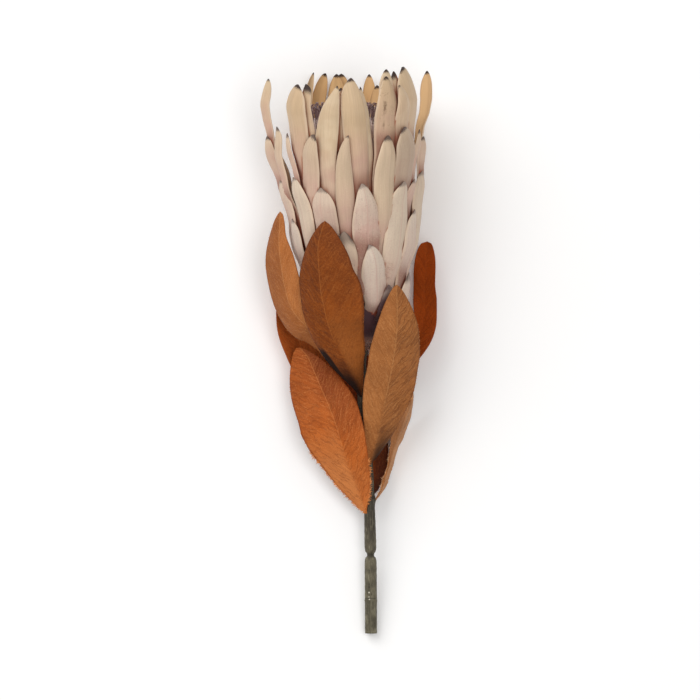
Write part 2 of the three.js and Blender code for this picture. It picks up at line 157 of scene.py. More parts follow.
def laidDown(points):
    c, s = math.cos(growth["layTilt"]), math.sin(growth["layTilt"])
    x, y, z = points[..., 0], points[..., 1], points[..., 2]
    return np.stack([x, y * c - z * s, y * s + z * c], -1) / 1000


# the frame's own stem says where the laid flower stands
stemTurns = 2 * math.pi * np.arange(growth["stemSides"]) / growth["stemSides"]
stemRings = [pointAt(h, r, stemTurns) for h, r in stemOutline]
frameShift = np.array(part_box("stem")[0]) - laidDown(np.array(stemRings)).reshape(-1, 3).min(0)


def onFrame(points):
    points = laidDown(np.asarray(points, float)) + frameShift
    low = np.array(cadLow) + growth["inset"] / 1000
    low[2] = 0
    return np.clip(points, low, np.array(cadHigh) - growth["inset"] / 1000)


# A shape is its points, its faces and its marks. A mark is a vector at every point that a material reads:
# spot and fibre say where on the piece the point is, the others say what the finish does there.


def marked(points, faces, **marks):
    # a mark is one vector for the whole shape, or one for each point
    ones = np.ones((len(points), 3))
    return {"points": points, "faces": faces, "marks": {name: ones * mark for name, mark in marks.items()}}


def markOf(grid, *parts):
    # a mark for each point of a grid, from three grids, columns, rows or single values
    return np.stack([np.broadcast_to(part, grid) for part in parts], -1).reshape(-1, 3)


def join(shapes):
    points, faces, count = [], [], 0
    for shape in shapes:
        points.append(shape["points"])
        faces += [[i + count for i in face] for face in shape["faces"]]
        count += len(shape["points"])
    marks = {name: np.vstack([shape["marks"][name] for shape in shapes]) for name in shapes[0]["marks"]}
    return {"points": np.vstack(points), "faces": faces, "marks": marks}


def addPiece(name, shape, material, slotName, *nodes):
    mesh = bpy.data.meshes.new(name)
    mesh.from_pydata(onFrame(shape["points"]).tolist(), [], shape["faces"])
    for markName, values in shape["marks"].items():
        mark = mesh.attributes.new(markName, "FLOAT_VECTOR", "POINT")
        mark.data.foreach_set("vector", np.ascontiguousarray(values, np.float32).ravel())
    mesh.polygons.foreach_set("use_smooth", [True] * len(mesh.polygons))
    mesh.materials.append(material)
    mesh.update()
    piece = bpy.data.objects.new(name, mesh)
    bpy.context.collection.objects.link(piece)
    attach(piece, "root")
    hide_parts(*nodes)
    print(name, "made,", sum(len(face) - 2 for face in shape["faces"]), "triangles")


def loopFaces(rows, wide, caps):
    # quads round closed loops, with the faces that close the two ends
    faces = []
    for i in range(rows - 1):
        for k in range(wide):
            nextK = (k + 1) % wide
            faces.append([i * wide + k, i * wide + nextK, (i + 1) * wide + nextK, (i + 1) * wide + k])
    return faces + caps


def roundFaces(rows, sides):
    last = (rows - 1) * sides
    return loopFaces(rows, sides, [list(range(sides))[::-1], [last + k for k in range(sides)]])


def roundGrid(heights, sides):
    # the height and the turn of each point of a round body
    return np.meshgrid(heights, np.linspace(0, 2 * math.pi, sides, endpoint=False), indexing="ij")


def blade(centres, along, facing, left, right, bow, form, places, relief):
    # a leaf or bract: a closed sheet along its midrib, its two faces meeting at thin edges
    rows, wide = len(centres), len(places)
    toward = outwardAt(facing)
    out = unit(toward - along * np.sum(toward * along, -1, keepdims=True))
    across = np.cross(along, out)
    half = np.where(places < 0, left[:, None], right[:, None])
    lift = relief - bow * half * places**2
    surface = centres[:, None] + across[:, None] * (places * half)[..., None] + out[:, None] * lift[..., None]
    thin = lerp(form["thick"], form["edgeThick"], np.abs(places) ** 5)
    top = pressed(surface.copy(), 0)
    under = pressed(surface - out[:, None] * thin[:, None], thin)
    loop, last, caps = 2 * wide, (rows - 1) * 2 * wide, []
    for j in range(wide - 1):
        corners = [j, j + 1, loop - 2 - j, loop - 1 - j]
        caps += [corners[::-1], [last + corner for corner in corners]]
    return np.concatenate([top, under[:, ::-1]], 1).reshape(-1, 3), loopFaces(rows, loop, caps), half


def bothFaces(values, shape):
    # values on a blade's upper face, repeated for its under face
    values = np.broadcast_to(values, shape)
    return np.concatenate([values, values[:, ::-1]], 1)


def rod(path, radii, sides, turnStart):
    # a thin round rod along a path of points
    path, radii = np.asarray(path, float), np.asarray(radii, float)
    along = unit(np.gradient(path, axis=0))
    helper = np.where(np.abs(along[:, :1]) < 0.8, [[1.0, 0, 0]], [[0, 0, 1.0]])
    side = unit(np.cross(along, helper))
    other = np.cross(along, side)
    angle = turnStart + 2 * math.pi * np.arange(sides) / sides
    ring = side[:, None] * np.cos(angle)[None, :, None] + other[:, None] * np.sin(angle)[None, :, None]
    points = path[:, None] + ring * radii[:, None, None]
    return points.reshape(-1, 3), roundFaces(len(path), sides)


rng = np.random.default_rng(11)


def hairShape(roots, ends, width, **marks):
    # flat hairs, each one thin triangle from its root to its end
    roots, ends = np.asarray(roots, float), np.asarray(ends, float)
    side = unit(np.cross(ends - roots, rng.normal(size=roots.shape))) * (width / 2)
    points = np.stack([roots - side, roots + side, ends], 1).reshape(-1, 3)
    faces = [[3 * i, 3 * i + 1, 3 * i + 2] for i in range(len(roots))]
    return marked(points, faces, **marks)


# Shader helpers


def colour(hexText):
    # a screen colour as the shader's linear colour
    channels = [int(hexText[i : i + 2], 16) / 255 for i in (1, 3, 5)]
    return [c / 12.92 if c < 0.04045 else ((c + 0.055) / 1.055) ** 2.4 for c in channels] + [1]


def colours(named):
    return {name: colour(hexText) for name, hexText in named.items()}


def setInputs(tree, node, inputs):
    # i0, i1 and so on are sockets by number, and a value may be another node's socket
    for name, value in inputs.items():
        socket = node.inputs[int(name[1:])] if name[0] == "i" and name[1:].isdigit() else node.inputs[name]
        if isinstance(value, bpy.types.NodeSocket):
            tree.links.new(value, socket)
        else:
            socket.default_value = value
    return node


def addNode(tree, kind, settings=None, **inputs):
    node = tree.nodes.new(kind)
    for name, value in (settings or {}).items():
        setattr(node, name, value)
    return setInputs(tree, node, inputs)


def maths(tree, operation, a, b=0.0):
    return addNode(tree, "ShaderNodeMath", {"operation": operation}, i0=a, i1=b).outputs[0]


def plus(tree, a, b):
    return maths(tree, "ADD", a, b)


def minus(tree, a, b):
    return maths(tree, "SUBTRACT", a, b)


def times(tree, a, b):
    return maths(tree, "MULTIPLY", a, b)


def over(tree, a, b):
    return maths(tree, "DIVIDE", a, b)


def sizeOf(tree, a):
    return maths(tree, "ABSOLUTE", a)


def ramp(tree, value, fromMin, fromMax, toMin=0.0, toMax=1.0):
    # a smooth step of a value into a mask
    settings = {"interpolation_type": "SMOOTHSTEP"}
    node = addNode(tree, "ShaderNodeMapRange", settings, i0=value, i1=fromMin, i2=fromMax, i3=toMin, i4=toMax)
    return node.outputs[0]


def noise(tree, place, scale, detail, roughness=0.5):
    inputs = {"Vector": place, "Scale": scale, "Detail": detail, "Roughness": roughness}
    return addNode(tree, "ShaderNodeTexNoise", **inputs).outputs[0]


def splitUp(tree, vector):
    return addNode(tree, "ShaderNodeSeparateXYZ", i0=vector).outputs


def putTogether(tree, x, y, z=0.0):
    return addNode(tree, "ShaderNodeCombineXYZ", i0=x, i1=y, i2=z).outputs[0]


def scaled(tree, place, factor):
    return addNode(tree, "ShaderNodeVectorMath", {"operation": "SCALE"}, i0=place, Scale=factor).outputs[0]


def distance(tree, across, along):
    offset = putTogether(tree, across, along)
    return addNode(tree, "ShaderNodeVectorMath", {"operation": "LENGTH"}, i0=offset).outputs["Value"]


def blend(tree, mask, under, upper, kind="MIX"):
    settings = {"data_type": "RGBA", "blend_type": kind, "clamp_factor": True}
    return addNode(tree, "ShaderNodeMix", settings, i0=mask, i6=under, i7=upper).outputs[2]


def layered(tree, base, *layers):
    # each layer is a mask and the colour that it lays over what is below
    for mask, upper in layers:
        base = blend(tree, mask, base, upper)
    return base


def newGroup(name, inputs, outputs):
    # every group reads Place, in mm, and some values of its own
    group = bpy.data.node_groups.new(name, "ShaderNodeTree")
    group.interface.new_socket("Place", in_out="INPUT", socket_type="NodeSocketVector")
    for socketName, value in inputs.items():
        socket = group.interface.new_socket(socketName, in_out="INPUT", socket_type="NodeSocketFloat")
        socket.default_value = value
    for socketName in outputs:
        group.interface.new_socket(socketName, in_out="OUTPUT", socket_type="NodeSocketFloat")
    return group, group.nodes.new("NodeGroupInput").outputs, group.nodes.new("NodeGroupOutput").inputs


def useGroup(tree, group, **inputs):
    node = tree.nodes.new("ShaderNodeGroup")
    node.node_tree = group
    return setInputs(tree, node, inputs).outputs


def makeFibreGrain():
    # fine lines that run along the piece: Place is (across, along)
    inputs = {"Spacing": 0.8, "Length": 18.0, "Waver": 0.4}
    group, given, out = newGroup("fibreGrain", inputs, ["Lines", "Soft"])
    place = splitUp(group, given["Place"])
    drift = noise(group, given["Place"], 0.06, 2.0)
    narrow = over(group, plus(group, place[0], times(group, drift, given["Waver"])), given["Spacing"])
    stretched = putTogether(group, narrow, over(group, place[1], given["Length"]), place[2])
    group.links.new(noise(group, stretched, 1.0, 3.0, 0.6), out["Lines"])
    group.links.new(noise(group, stretched, 0.22, 2.0), out["Soft"])
    return group


def makePatches():
    # soft uneven patches, small freckles and fine pores
    group, given, out = newGroup("patches", {"Size": 12.0, "Freckle Size": 1.6}, ["Patch", "Freckle", "Pore"])
    broad = scaled(group, given["Place"], over(group, 1.0, given["Size"]))
    group.links.new(ramp(group, noise(group, broad, 1.0, 4.0), 0.38, 0.64), out["Patch"])
    small = scaled(group, given["Place"], over(group, 1.0, given["Freckle Size"]))
    cells = addNode(group, "ShaderNodeTexVoronoi", Vector=small, Scale=1.0, Randomness=1.0).outputs[0]
    chance = ramp(group, noise(group, small, 0.35, 1.0), 0.5, 0.62)
    group.links.new(times(group, ramp(group, cells, 0.42, 0.18), chance), out["Freckle"])
    group.links.new(noise(group, given["Place"], 2.4, 3.0), out["Pore"])
    return group


def makeLeafVeins():
    # a midrib, side veins that sweep towards the tip and come and go, and thin wrinkles along them.
    # Place is (across, along).
    inputs = {"Spacing": 7.0, "Sweep": 1.1, "Midrib": 0.7}
    group, given, out = newGroup("leafVeins", inputs, ["Rib", "Side", "Wrinkle", "Fleck"])
    place = splitUp(group, given["Place"])
    wander = noise(group, given["Place"], 0.07, 3.0)
    away = sizeOf(group, place[0])
    sideOf = times(group, maths(group, "SIGN", place[0]), 1.7)
    sweep = times(group, maths(group, "POWER", away, 0.92), given["Sweep"])
    slant = minus(group, place[1], sweep)
    line = plus(group, slant, times(group, wander, 26.0))
    line = plus(group, over(group, line, given["Spacing"]), sideOf)
    near = sizeOf(group, minus(group, maths(group, "FRACT", line), 0.5))
    comes = ramp(group, noise(group, given["Place"], 0.13, 2.0), 0.42, 0.62)
    group.links.new(times(group, ramp(group, near, 0.1, 0.0), comes), out["Side"])
    group.links.new(ramp(group, over(group, away, given["Midrib"]), 1.0, 0.25), out["Rib"])
    narrow = times(group, plus(group, slant, times(group, wander, 12.0)), 0.2)
    veinPlace = putTogether(group, narrow, times(group, place[0], 0.06), place[2])
    crease = sizeOf(group, minus(group, noise(group, veinPlace, 1.0, 2.0), 0.5))
    group.links.new(ramp(group, crease, 0.035, 0.0), out["Wrinkle"])
    group.links.new(noise(group, given["Place"], 0.85, 4.0, 0.7), out["Fleck"])
    return group


fibreGrain = makeFibreGrain()
patches = makePatches()
leafVeins = makeLeafVeins()


def newMaterial(name, roughness, sheen=0.0, specular=0.3):
    material = bpy.data.materials.new(name)
    material.use_nodes = True
    tree = material.node_tree
    skin = tree.nodes["Principled BSDF"]
    values = {"Roughness": roughness, "Specular IOR Level": specular, "Sheen Weight": sheen}
    setInputs(tree, skin, {**values, "Sheen Roughness": 0.5})
    return material, tree, skin


def attribute(tree, name):
    settings = {"attribute_type": "GEOMETRY", "attribute_name": name}
    return addNode(tree, "ShaderNodeAttribute", settings).outputs["Vector"]


def marksOf(tree, *names):
    return [splitUp(tree, attribute(tree, name)) for name in names]


def dress(tree, skin, base, height, depth, strength):
    # the skin's colour and its fine relief, with its depth in metres
    bump = addNode(tree, "ShaderNodeBump", Height=height, Distance=depth, Strength=strength).outputs[0]
    setInputs(tree, skin, {"Base Color": base, "Normal": bump})


def roughen(tree, skin, pores, low, high):
    tree.links.new(ramp(tree, pores, 0.3, 0.7, low, high), skin.inputs["Roughness"])


print("shader groups ready")

# Bracts

bracts = {
    "thick": 0.9,
    "edgeThick": 0.35,
    "bow": 0.3,
    "bowVaries": (1.1, 0.5),
    "tipPower": 0.64,
    "footPower": 1.7,
    "tierGap": 5,
    "reachTurn": 25,
    "reachFade": 26,
    "rootRise": 22,
    "rootSink": 4,
    "rootLiftShare": 0.8,
    "fillLift": 0.9,
    # how far a filled bract may vary, and what sets each apart
    "varies": {"turn": (2, 0.1), "tip": (9, 0.3), "half": (1.6, 0.5), "apex": (8, 0.7), "lean": (4, 0.9)},
    "curlLength": 40,
    "flatUnderTurn": 172,
    "leanPower": 8,
    "sweepPower": 3,
    "sway": 0.7,
    "swayBends": 5,
    "wobble": 0.035,
    "wobbleBends": 11,
    "wobbleFootEase": 2,
    "wobbleTipReach": 12,
    "coverStart": 8,
    "coverReach": 26,
    "coverFade": 58,
    "bodyRows": 15,
    "tipRows": 16,
    "tipEnd": 0.02,
    "columns": 13,
    "footEase": 3,
    "tipReach": 10,
    "keel": 0.45,
    "keelWidth": 0.14,
    "flute": 0.18,
    "fluteBends": 7.5,
    "ripple": 0.7,
    "rippleBends": (9, 5),
    "marginRoll": 0.1,
    "marginShare": 0.2,
    "leastHalf": 0.12,
    "hoodLength": 12,
    "hood": 1.1,
    "darkVaries": (1, 0.3),
    # two brown blotches below one tip: how far down, half length, half width and strength
    "blotches": [(27.0, 6.6, 1.9, 0.8), (42.0, 3.4, 1.4, 0.5)],
    "blotchAcross": -4.6,
    "probe": {"lift": 0.2, "lean": 1.02, "reach": 22, "rays": 14},
    "outside": 130,
    "hairWidth": 0.5,
    "hairLift": 0.5,
    "hairStray": 0.6,
    "hairLengths": (0.4, 1.0),
    "hairs": [
        {"heights": (250.5, 259), "turns": (-70, 90), "count": 800, "length": 4.5, "look": [1, 0, -0.08]},
        {"heights": (312, 326), "turns": (36, 47), "count": 90, "length": 3.5, "look": [1, 0, 0]},
        {"heights": (300, 330), "turns": (-8, 4), "count": 60, "length": 2.5, "look": [1, 0, -0.5]},
    ],
}
bractLooks = colours({
    "cream": "#d5bd9c",
    "creamDeep": "#c2a37e",
    "grey": "#d2c2b2",
    "mauve": "#c49a8c",
    "deep": "#84503e",
    "ochre": "#deb27c",
    "ochreEdge": "#a06c3c",
    "tip": "#36251f",
    "tipSoft": "#7b665f",
    "margin": "#ddc6ab",
    # the last two are painted shade: warm in the crevices, dark on bracts that lie in shadow
    "creviceShade": "#9a4a2c",
    "gloom": "#482a2e",
    "blotch": "#6a4d33",
    "freckle": "#6e5234",
})

# turn in degrees from the upper side, tip height, half width, length of the tip's taper, and what is its own
tiers = [
    {
        "root": 294,
        "foot": 0.4,
        "listed": [
            dict(turn=-87, tip=489.2, half=6.8, apex=24, lift=4.3, curl=-7.7, twist=45, ochre=0.1, dark=1.2),
            dict(turn=-45.5, tip=480.5, half=12, apex=24, lean=10, sweep=2.5, lift=0.8),
            dict(turn=-35, tip=481, half=6.4, apex=8, lean=3.6, lift=-4, dark=8, point=-0.1, blushAndShade=0.3,
                 leftSide=dict(apex=24, point=0.5)),
            dict(turn=-20.8, tip=478.4, half=8.2, apex=30, lean=6, sweep=12.5, lift=1, dark=1.6,
                 leftSide=dict(half=14.6, apex=62, point=0.4)),
            dict(turn=-5, tip=477, half=5.5, apex=18, lean=1, lift=-4.4, blushAndShade=0.1, gloom=0.3),
            dict(turn=9.4, tip=485.2, half=9.6, apex=44, lean=-1.4, sweep=-6.3, lift=1,
                 leftSide=dict(half=12, apex=24)),
            dict(turn=15, tip=478, half=9, apex=70, point=0.1, sweep=-5.4, lift=-4.2, dark=3, blushAndShade=0.5),
            dict(turn=33, tip=487.3, half=11.2, apex=37, lean=-1.6, sweep=-3.7, lift=0.5, freckles=1,
                 blushAndShade=0.6),
            dict(turn=31, tip=493.7, half=7.5, apex=22, lift=-2.8),
            dict(turn=46, tip=492.5, half=6, apex=18, lean=-4, sweep=-4, lift=-5.4, dark=7),
            dict(turn=56.5, tip=496.2, half=15.5, apex=30, lean=-17.5, sweep=2, lift=-1.6, blushAndShade=0.4),
            dict(turn=50, tip=479.5, half=9.5, apex=34, lean=-18, lift=0.8, curl=1.6, dark=0, blushAndShade=0.3),
            dict(turn=101, tip=497.5, half=7.7, apex=26, lift=0.2, curl=0.7, twist=36, ochre=0.6),
            dict(turn=156, tip=488, half=8, apex=24, lift=-3, ochre=0.8),
            dict(turn=163, tip=498.3, half=6, apex=22, lift=0.6, ochre=1),
            dict(turn=183.5, tip=499, half=9, apex=24, lift=0.8, ochre=1),
            dict(turn=187, tip=498.5, half=8, apex=24, lift=-2.4, ochre=0.9),
            dict(turn=206.5, tip=499.4, half=7.2, apex=22, lean=-10, sweep=-5, lift=0.6, ochre=1),
            dict(turn=213.5, tip=499.4, half=4.2, apex=34, lean=-10, lift=-3, twist=-15, ochre=0.15,
                 dark=1.6),
            dict(turn=219, tip=474, half=8, apex=26, lift=0.6, ochre=0.4),
        ],
        "filled": {"turns": [124, 142], "tip": 487, "half": 9.4, "apex": 30},
        "tipDark": 2.6, "tipDepth": 1.0, "grey": 0.05, "blushAndShade": 0.8,
    },
    {
        "root": 287,
        "foot": 0.42,
        "listed": [
            dict(turn=-86, tip=438.5, half=9, apex=30, lift=3.3, curl=-1.4, twist=38),
            dict(turn=-73, tip=446, half=8, apex=16, lift=1.9, curl=-7),
            dict(turn=-54.5, tip=439, half=4, apex=21, lean=-2, sweep=5, lift=-0.6),
            dict(turn=-42, tip=436.6, half=9.4, apex=24, lean=10.5, sweep=11, dark=3.5),
            dict(turn=-4.6, tip=435.7, half=9, apex=68, lean=9, sweep=-3.4, dark=1.5),
            dict(turn=33, tip=436.3, half=10.2, apex=31, sweep=-2.6, dark=5),
            dict(turn=54.5, tip=443.5, half=13.5, apex=18, lean=-14, lift=0.8, dark=2, gloom=0.32, blushAndShade=0.4),
            dict(turn=69, tip=443.5, half=7, apex=30, lift=-1.4),
            dict(turn=90, tip=438.6, half=7, apex=16, lift=4.1, curl=-6.9, twist=-30),
        ],
        "filled": {"turns": [110, 130, 148, 165, 180, 193, 206, 219, 265], "tip": 440, "half": 10.4,
                   "apex": 36},
        "tipDark": 3.4, "tipDepth": 0.9, "grey": 0.3, "blushAndShade": 0.8,
    },
    {
        "root": 279,
        "foot": 0.4,
        "listed": [
            dict(turn=-81, tip=399.5, half=13, apex=23.5, lean=-4, lift=1.5, curl=-3.2, dark=3),
            dict(turn=-55, tip=401, half=6, apex=24, lift=-2),
            dict(turn=-49.5, tip=399.8, half=8.5, apex=24, lift=1, dark=1.5),
            dict(turn=-30, tip=391, half=12.4, apex=21, sweep=5, lift=-1.2, point=0.14),
            dict(turn=15.5, tip=394.3, half=12.7, apex=44, lean=-3.7, sweep=-3, freckles=0.3, soft=1.2,
                 blushAndShade=1.1),
            dict(turn=50, tip=397, half=14.6, apex=36, lean=-6, sweep=4, lift=0.9, dark=4),
            dict(turn=68, tip=400, half=10, apex=34, lift=-1.5, dark=4),
            dict(turn=88, tip=408.2, half=12, apex=24, lift=5.3, curl=-6.3, twist=-20),
        ],
        "filled": {"turns": [96, 118, 139, 160, 180, 202, 223, 245, 268], "tip": 398, "half": 10.8,
                   "apex": 36},
        "tipDark": 4.2, "tipDepth": 0.62, "grey": 0.6, "blushAndShade": 0.7,
    },
    {
        "root": 270,
        "foot": 0.36,
        "listed": [
            dict(turn=-86, tip=362, half=10, apex=34, lift=-1),
            dict(turn=-65, tip=365, half=8.5, apex=32, lean=0.5, lift=1, dark=3.5, gloom=0.24),
            dict(turn=-33, tip=352, half=11, apex=34, lift=-1.2),
            dict(turn=-8, tip=353, half=9.8, apex=25, lift=-0.6, dark=13, soft=0.5),
            dict(turn=25.5, tip=341.6, half=12.2, apex=26, lean=-3.5, sweep=-7.5, lift=1, dark=3, point=0.2),
            dict(turn=74.5, tip=373.5, half=14, apex=36, lean=-3),
        ],
        "filled": {"turns": [84, 107, 131, 155, 180, 204, 227, 250], "tip": 355, "half": 11.6, "apex": 34},
        "tipDark": 4, "tipDepth": 0.7, "grey": 0.9, "blushAndShade": 0.6,
    },
    {
        "root": 260,
        "foot": 0.36,
        "listed": [
            dict(turn=-48, tip=314, half=11.4, apex=28, lift=1),
            dict(turn=-20, tip=308, half=11.4, apex=26, lift=-1.2),
            dict(turn=7, tip=276, half=8, apex=20, lift=0.8, gloom=1),
            dict(turn=44, tip=307, half=10, apex=28, sweep=-4, lift=-0.8, dark=5, gloom=0.9),
            dict(turn=75, tip=318, half=11, apex=32, lift=1),
        ],
        "filled": {"turns": [103, 128, 155, 180, 206, 232, 259, 285], "tip": 312, "half": 11.4, "apex": 27},
        "tipDark": 9, "tipDepth": 0.75, "grey": 0.9, "blushAndShade": 0.6,
    },
]
plainBract = dict(lean=0, sweep=0, lift=0, curl=-1.5, twist=0, ochre=0, freckles=0, dark=None, point=0,
                  leftSide={}, blushAndShade=1, gloom=0, soft=1)


def bractsOf(tierIndex):
    # the listed bracts, and those that fill the tier up, each varied a little in its own way
    rule = tiers[tierIndex]["filled"]
    found = [dict(plainBract, **bract) for bract in tiers[tierIndex]["listed"]]
    for i, turn in enumerate(rule["turns"]):
        bract = dict(plainBract, turn=turn, tip=rule["tip"], half=rule["half"], apex=rule["apex"])
        for name, (size, seed) in bracts["varies"].items():
            bract[name] += size * scatter(tierIndex * 40 + i + seed)
        bract["lift"] = bracts["fillLift"] if i % 2 else -bracts["fillLift"]
        found.append(bract)
    return found


allBracts = [bractsOf(i) for i in range(len(tiers))]


def turnsApart(a, b):
    return abs((a - b + 180) % 360 - 180)


def bractRadius(bract, tierIndex, height):
    covered = 0
    for outerTier in allBracts[tierIndex + 1 :]:
        near = [b["tip"] for b in outerTier if turnsApart(b["turn"], bract["turn"]) < bracts["reachTurn"]]
        covered = covered + ease(1 - (height - max([0, *near])) / bracts["reachFade"])
    layer = curveAt(headOutline, height) - bracts["tierGap"] * covered + bract["lift"]
    rootHeight = tiers[tierIndex]["root"]
    root = curveAt(receptacleOutline, rootHeight) - bracts["rootSink"]
    root = root + bracts["rootLiftShare"] * bract["lift"]
    rise = ease((height - rootHeight) / bracts["rootRise"])
    bend = ease(1 - (bract["tip"] - height) / bracts["curlLength"])
    hood = bracts["hood"] * np.clip(1 - (bract["tip"] - height) / bracts["hoodLength"], 0, 1) ** 2
    return lerp(root, layer, rise) + bract["curl"] * bend - hood


def bractHalf(bract, tier, down):
    # the tip's rounded taper, and the slow narrowing down to the foot
    taper = (1 - np.clip(1 - down / bract["apex"], 0, 1) ** 2) ** (bracts["tipPower"] + bract["point"])
    below = np.clip((down - bract["apex"]) / (bract["tip"] - tier["root"] - bract["apex"]), 0, 1)
    half = bract["half"] * taper * (1 - (1 - tier["foot"]) * below ** bracts["footPower"])
    return np.maximum(half, bracts["leastHalf"])


def bractRelief(bract, seed, p, s, down):
    # the keel, flutes beside it, and rims that ripple and roll in: p is the place across, s the share along
    settled = ease(s * bracts["footEase"]) * ease(down / bracts["tipReach"])
    phase = s * varied(bracts["rippleBends"], seed + 4) + seed * 3 + p
    rim = np.clip((np.abs(p) - 1 + bracts["marginShare"]) / bracts["marginShare"], 0, 1)
    keel = bracts["keel"] * np.exp(-((p / bracts["keelWidth"]) ** 2))
    flutes = bracts["flute"] * np.sin(p * bracts["fluteBends"] + seed) * (1 - p**2)
    ripples = bracts["ripple"] * np.abs(p) ** 3 * np.sin(phase)
    return (keel + flutes + ripples - bracts["marginRoll"] * bract["half"] * rim**2) * settled


def bractShape(bract, tierIndex, order):
    tier = tiers[tierIndex]
    seed = tierIndex * 61 + order * 1.7
    turn = math.radians(bract["turn"])
    length = bract["tip"] - tier["root"]
    sideways = np.array([math.cos(turn), 0, -math.sin(turn)])
    body = np.linspace(length, bract["apex"], bracts["bodyRows"], endpoint=False)
    tipAngle = np.linspace(0, math.pi / 2, bracts["tipRows"])
    down = np.concatenate([body, bract["apex"] * (1 - np.sin(tipAngle))])
    down[-1] = bracts["tipEnd"]

    def centreAt(height):
        share = np.clip((height - tier["root"]) / length, 0, 1)
        sway = bracts["sway"] * scatter(seed + 5) * np.sin(share * bracts["swayBends"] + seed)
        shift = bract["lean"] * share ** bracts["leanPower"] + bract["sweep"] * share ** bracts["sweepPower"]
        shift = shift + sway * share
        return pointAt(height, bractRadius(bract, tierIndex, height), turn) + sideways * shift[:, None]

    height = bract["tip"] - down
    share = 1 - down / length
    along = unit(centreAt(height + 0.5) - centreAt(height - 0.5))
    facing = turn + math.radians(bract["twist"]) * share**2
    places = np.sin(np.linspace(-1, 1, bracts["columns"]) * math.pi / 2)
    waves = np.sin(share * bracts["wobbleBends"] + seed * 2)
    waves = waves * ease(share * bracts["wobbleFootEase"]) * ease(down / bracts["wobbleTipReach"])
    wobble = 1 + bracts["wobble"] * waves
    right = bractHalf(bract, tier, down) * wobble
    left = bractHalf({**bract, **bract["leftSide"]}, tier, down) * wobble
    bow = bracts["bow"] * varied(bracts["bowVaries"], seed + 2)
    if turnsApart(bract["turn"], 0) > bracts["flatUnderTurn"]:
        bow = 0
    fromTip = down[:, None]
    relief = bractRelief(bract, seed, places, share[:, None], fromTip)
    points, faces, halves = blade(centreAt(height), along, facing, left, right, bow, bracts, places, relief)
    rows, wide = halves.shape
    grid = (rows, 2 * wide)
    across = bothFaces(places, halves.shape)
    dark = tier["tipDark"] if bract["dark"] is None else bract["dark"]
    dark = dark * varied(bracts["darkVaries"], seed + 6)
    shape = marked(
        points,
        faces,
        spot=markOf(grid, across, fromTip, np.repeat([1, 0], wide)),
        tone=markOf(grid, scatter(seed + 8) + 0.5, height[:, None], dark),
        look=[tier["grey"] * bract["soft"], bract["ochre"], bract["freckles"] - bract["gloom"]],
        fibre=markOf(grid, across * bothFaces(halves, halves.shape), fromTip, seed * 3.1),
        # the second value says how rosy the bract is painted where it is covered, partly its own blush and
        # partly painted shade
        depth=[tier["tipDepth"], tier["blushAndShade"] * bract["blushAndShade"], 0],
    )
    spine = points[[i * 2 * wide + wide // 2 for i in range(rows)]]
    return dict(shape, tier=tierIndex, spine=spine, outward=outwardAt(turn))


def treeOf(shape):
    return BVHTree.FromPolygons(shape["points"].tolist(), shape["faces"])


def shadeUnderCovers(shapes):
    # tone's second value turns from a height into how near the point is to where its bract is covered, where
    # the material paints blush and shade
    outer = [[shape for shape in shapes if shape["tier"] > i] for i in range(len(tiers) - 1)]
    trees = [treeOf(join(covering)) for covering in outer]
    for shape in shapes:
        cover = tiers[shape["tier"]]["root"] + bracts["coverStart"]
        for point in shape["spine"] if shape["tier"] < len(trees) else []:
            start = (point - shape["outward"]).tolist()
            hit = trees[shape["tier"]].ray_cast(start, shape["outward"].tolist(), bracts["coverReach"])[0]
            if hit is not None:
                cover = max(cover, point[1])
        tone = shape["marks"]["tone"]
        tone[:, 1] = np.clip(1 - (tone[:, 1] - cover) / bracts["coverFade"], 0, 1)


def creviceShadeMarks(shape, probe):
    # the share of the view outward that is blocked close by, at every point
    tree = treeOf(shape)
    mesh = bpy.data.meshes.new("creviceProbe")
    mesh.from_pydata(shape["points"].tolist(), [], shape["faces"])
    normals = np.empty(3 * len(shape["points"]))
    mesh.vertex_normals.foreach_get("vector", normals)
    normals = normals.reshape(-1, 3)
    bpy.data.meshes.remove(mesh)
    i = np.arange(probe["rays"]) + 0.5
    height, spin = 1 - 2 * i / probe["rays"], i * goldenTurn
    flat = np.sqrt(1 - height**2)
    sphere = np.stack([flat * np.cos(spin), flat * np.sin(spin), height], -1)
    origins = (shape["points"] + normals * probe["lift"]).tolist()
    blocked = np.zeros(len(origins))
    for direction in sphere:
        headings = unit(normals * probe["lean"] + direction).tolist()
        for k, (origin, heading) in enumerate(zip(origins, headings)):
            blocked[k] += tree.ray_cast(origin, heading, probe["reach"])[0] is not None
    return blocked / probe["rays"]


# The receptacle that carries the bracts: downy at its foot, and in the shade of the leaves above it
receptacleForm = {
    "rings": 22,
    "sides": 72,
    "ribs": 18,
    "ribRise": 0.012,
    "ribTwist": 0.7,
    "gloomFrom": 257,
    "gloomOver": 7,
    "fibreAcross": 30,
}


def receptacleShape():
    form = receptacleForm
    heights = np.linspace(receptacleOutline[0][0], receptacleOutline[-1][0], form["rings"])
    h, t = roundGrid(heights, form["sides"])
    ribs = form["ribRise"] * np.sin(t * form["ribs"] + h * form["ribTwist"])
    radius = curveAt(receptacleOutline, h) * (1 + ribs)
    gloom = np.clip((h - form["gloomFrom"]) / form["gloomOver"], 0, 1)
    return marked(
        pressed(pointAt(h, radius, t), 0).reshape(-1, 3),
        roundFaces(*h.shape),
        spot=[0, 60, 1],
        tone=[0.5, 1, 0],
        look=markOf(h.shape, 0.5, 0, -gloom),
        fibre=markOf(h.shape, t * form["fibreAcross"], h, 0),
        depth=[0, 0.8, 0],
    )


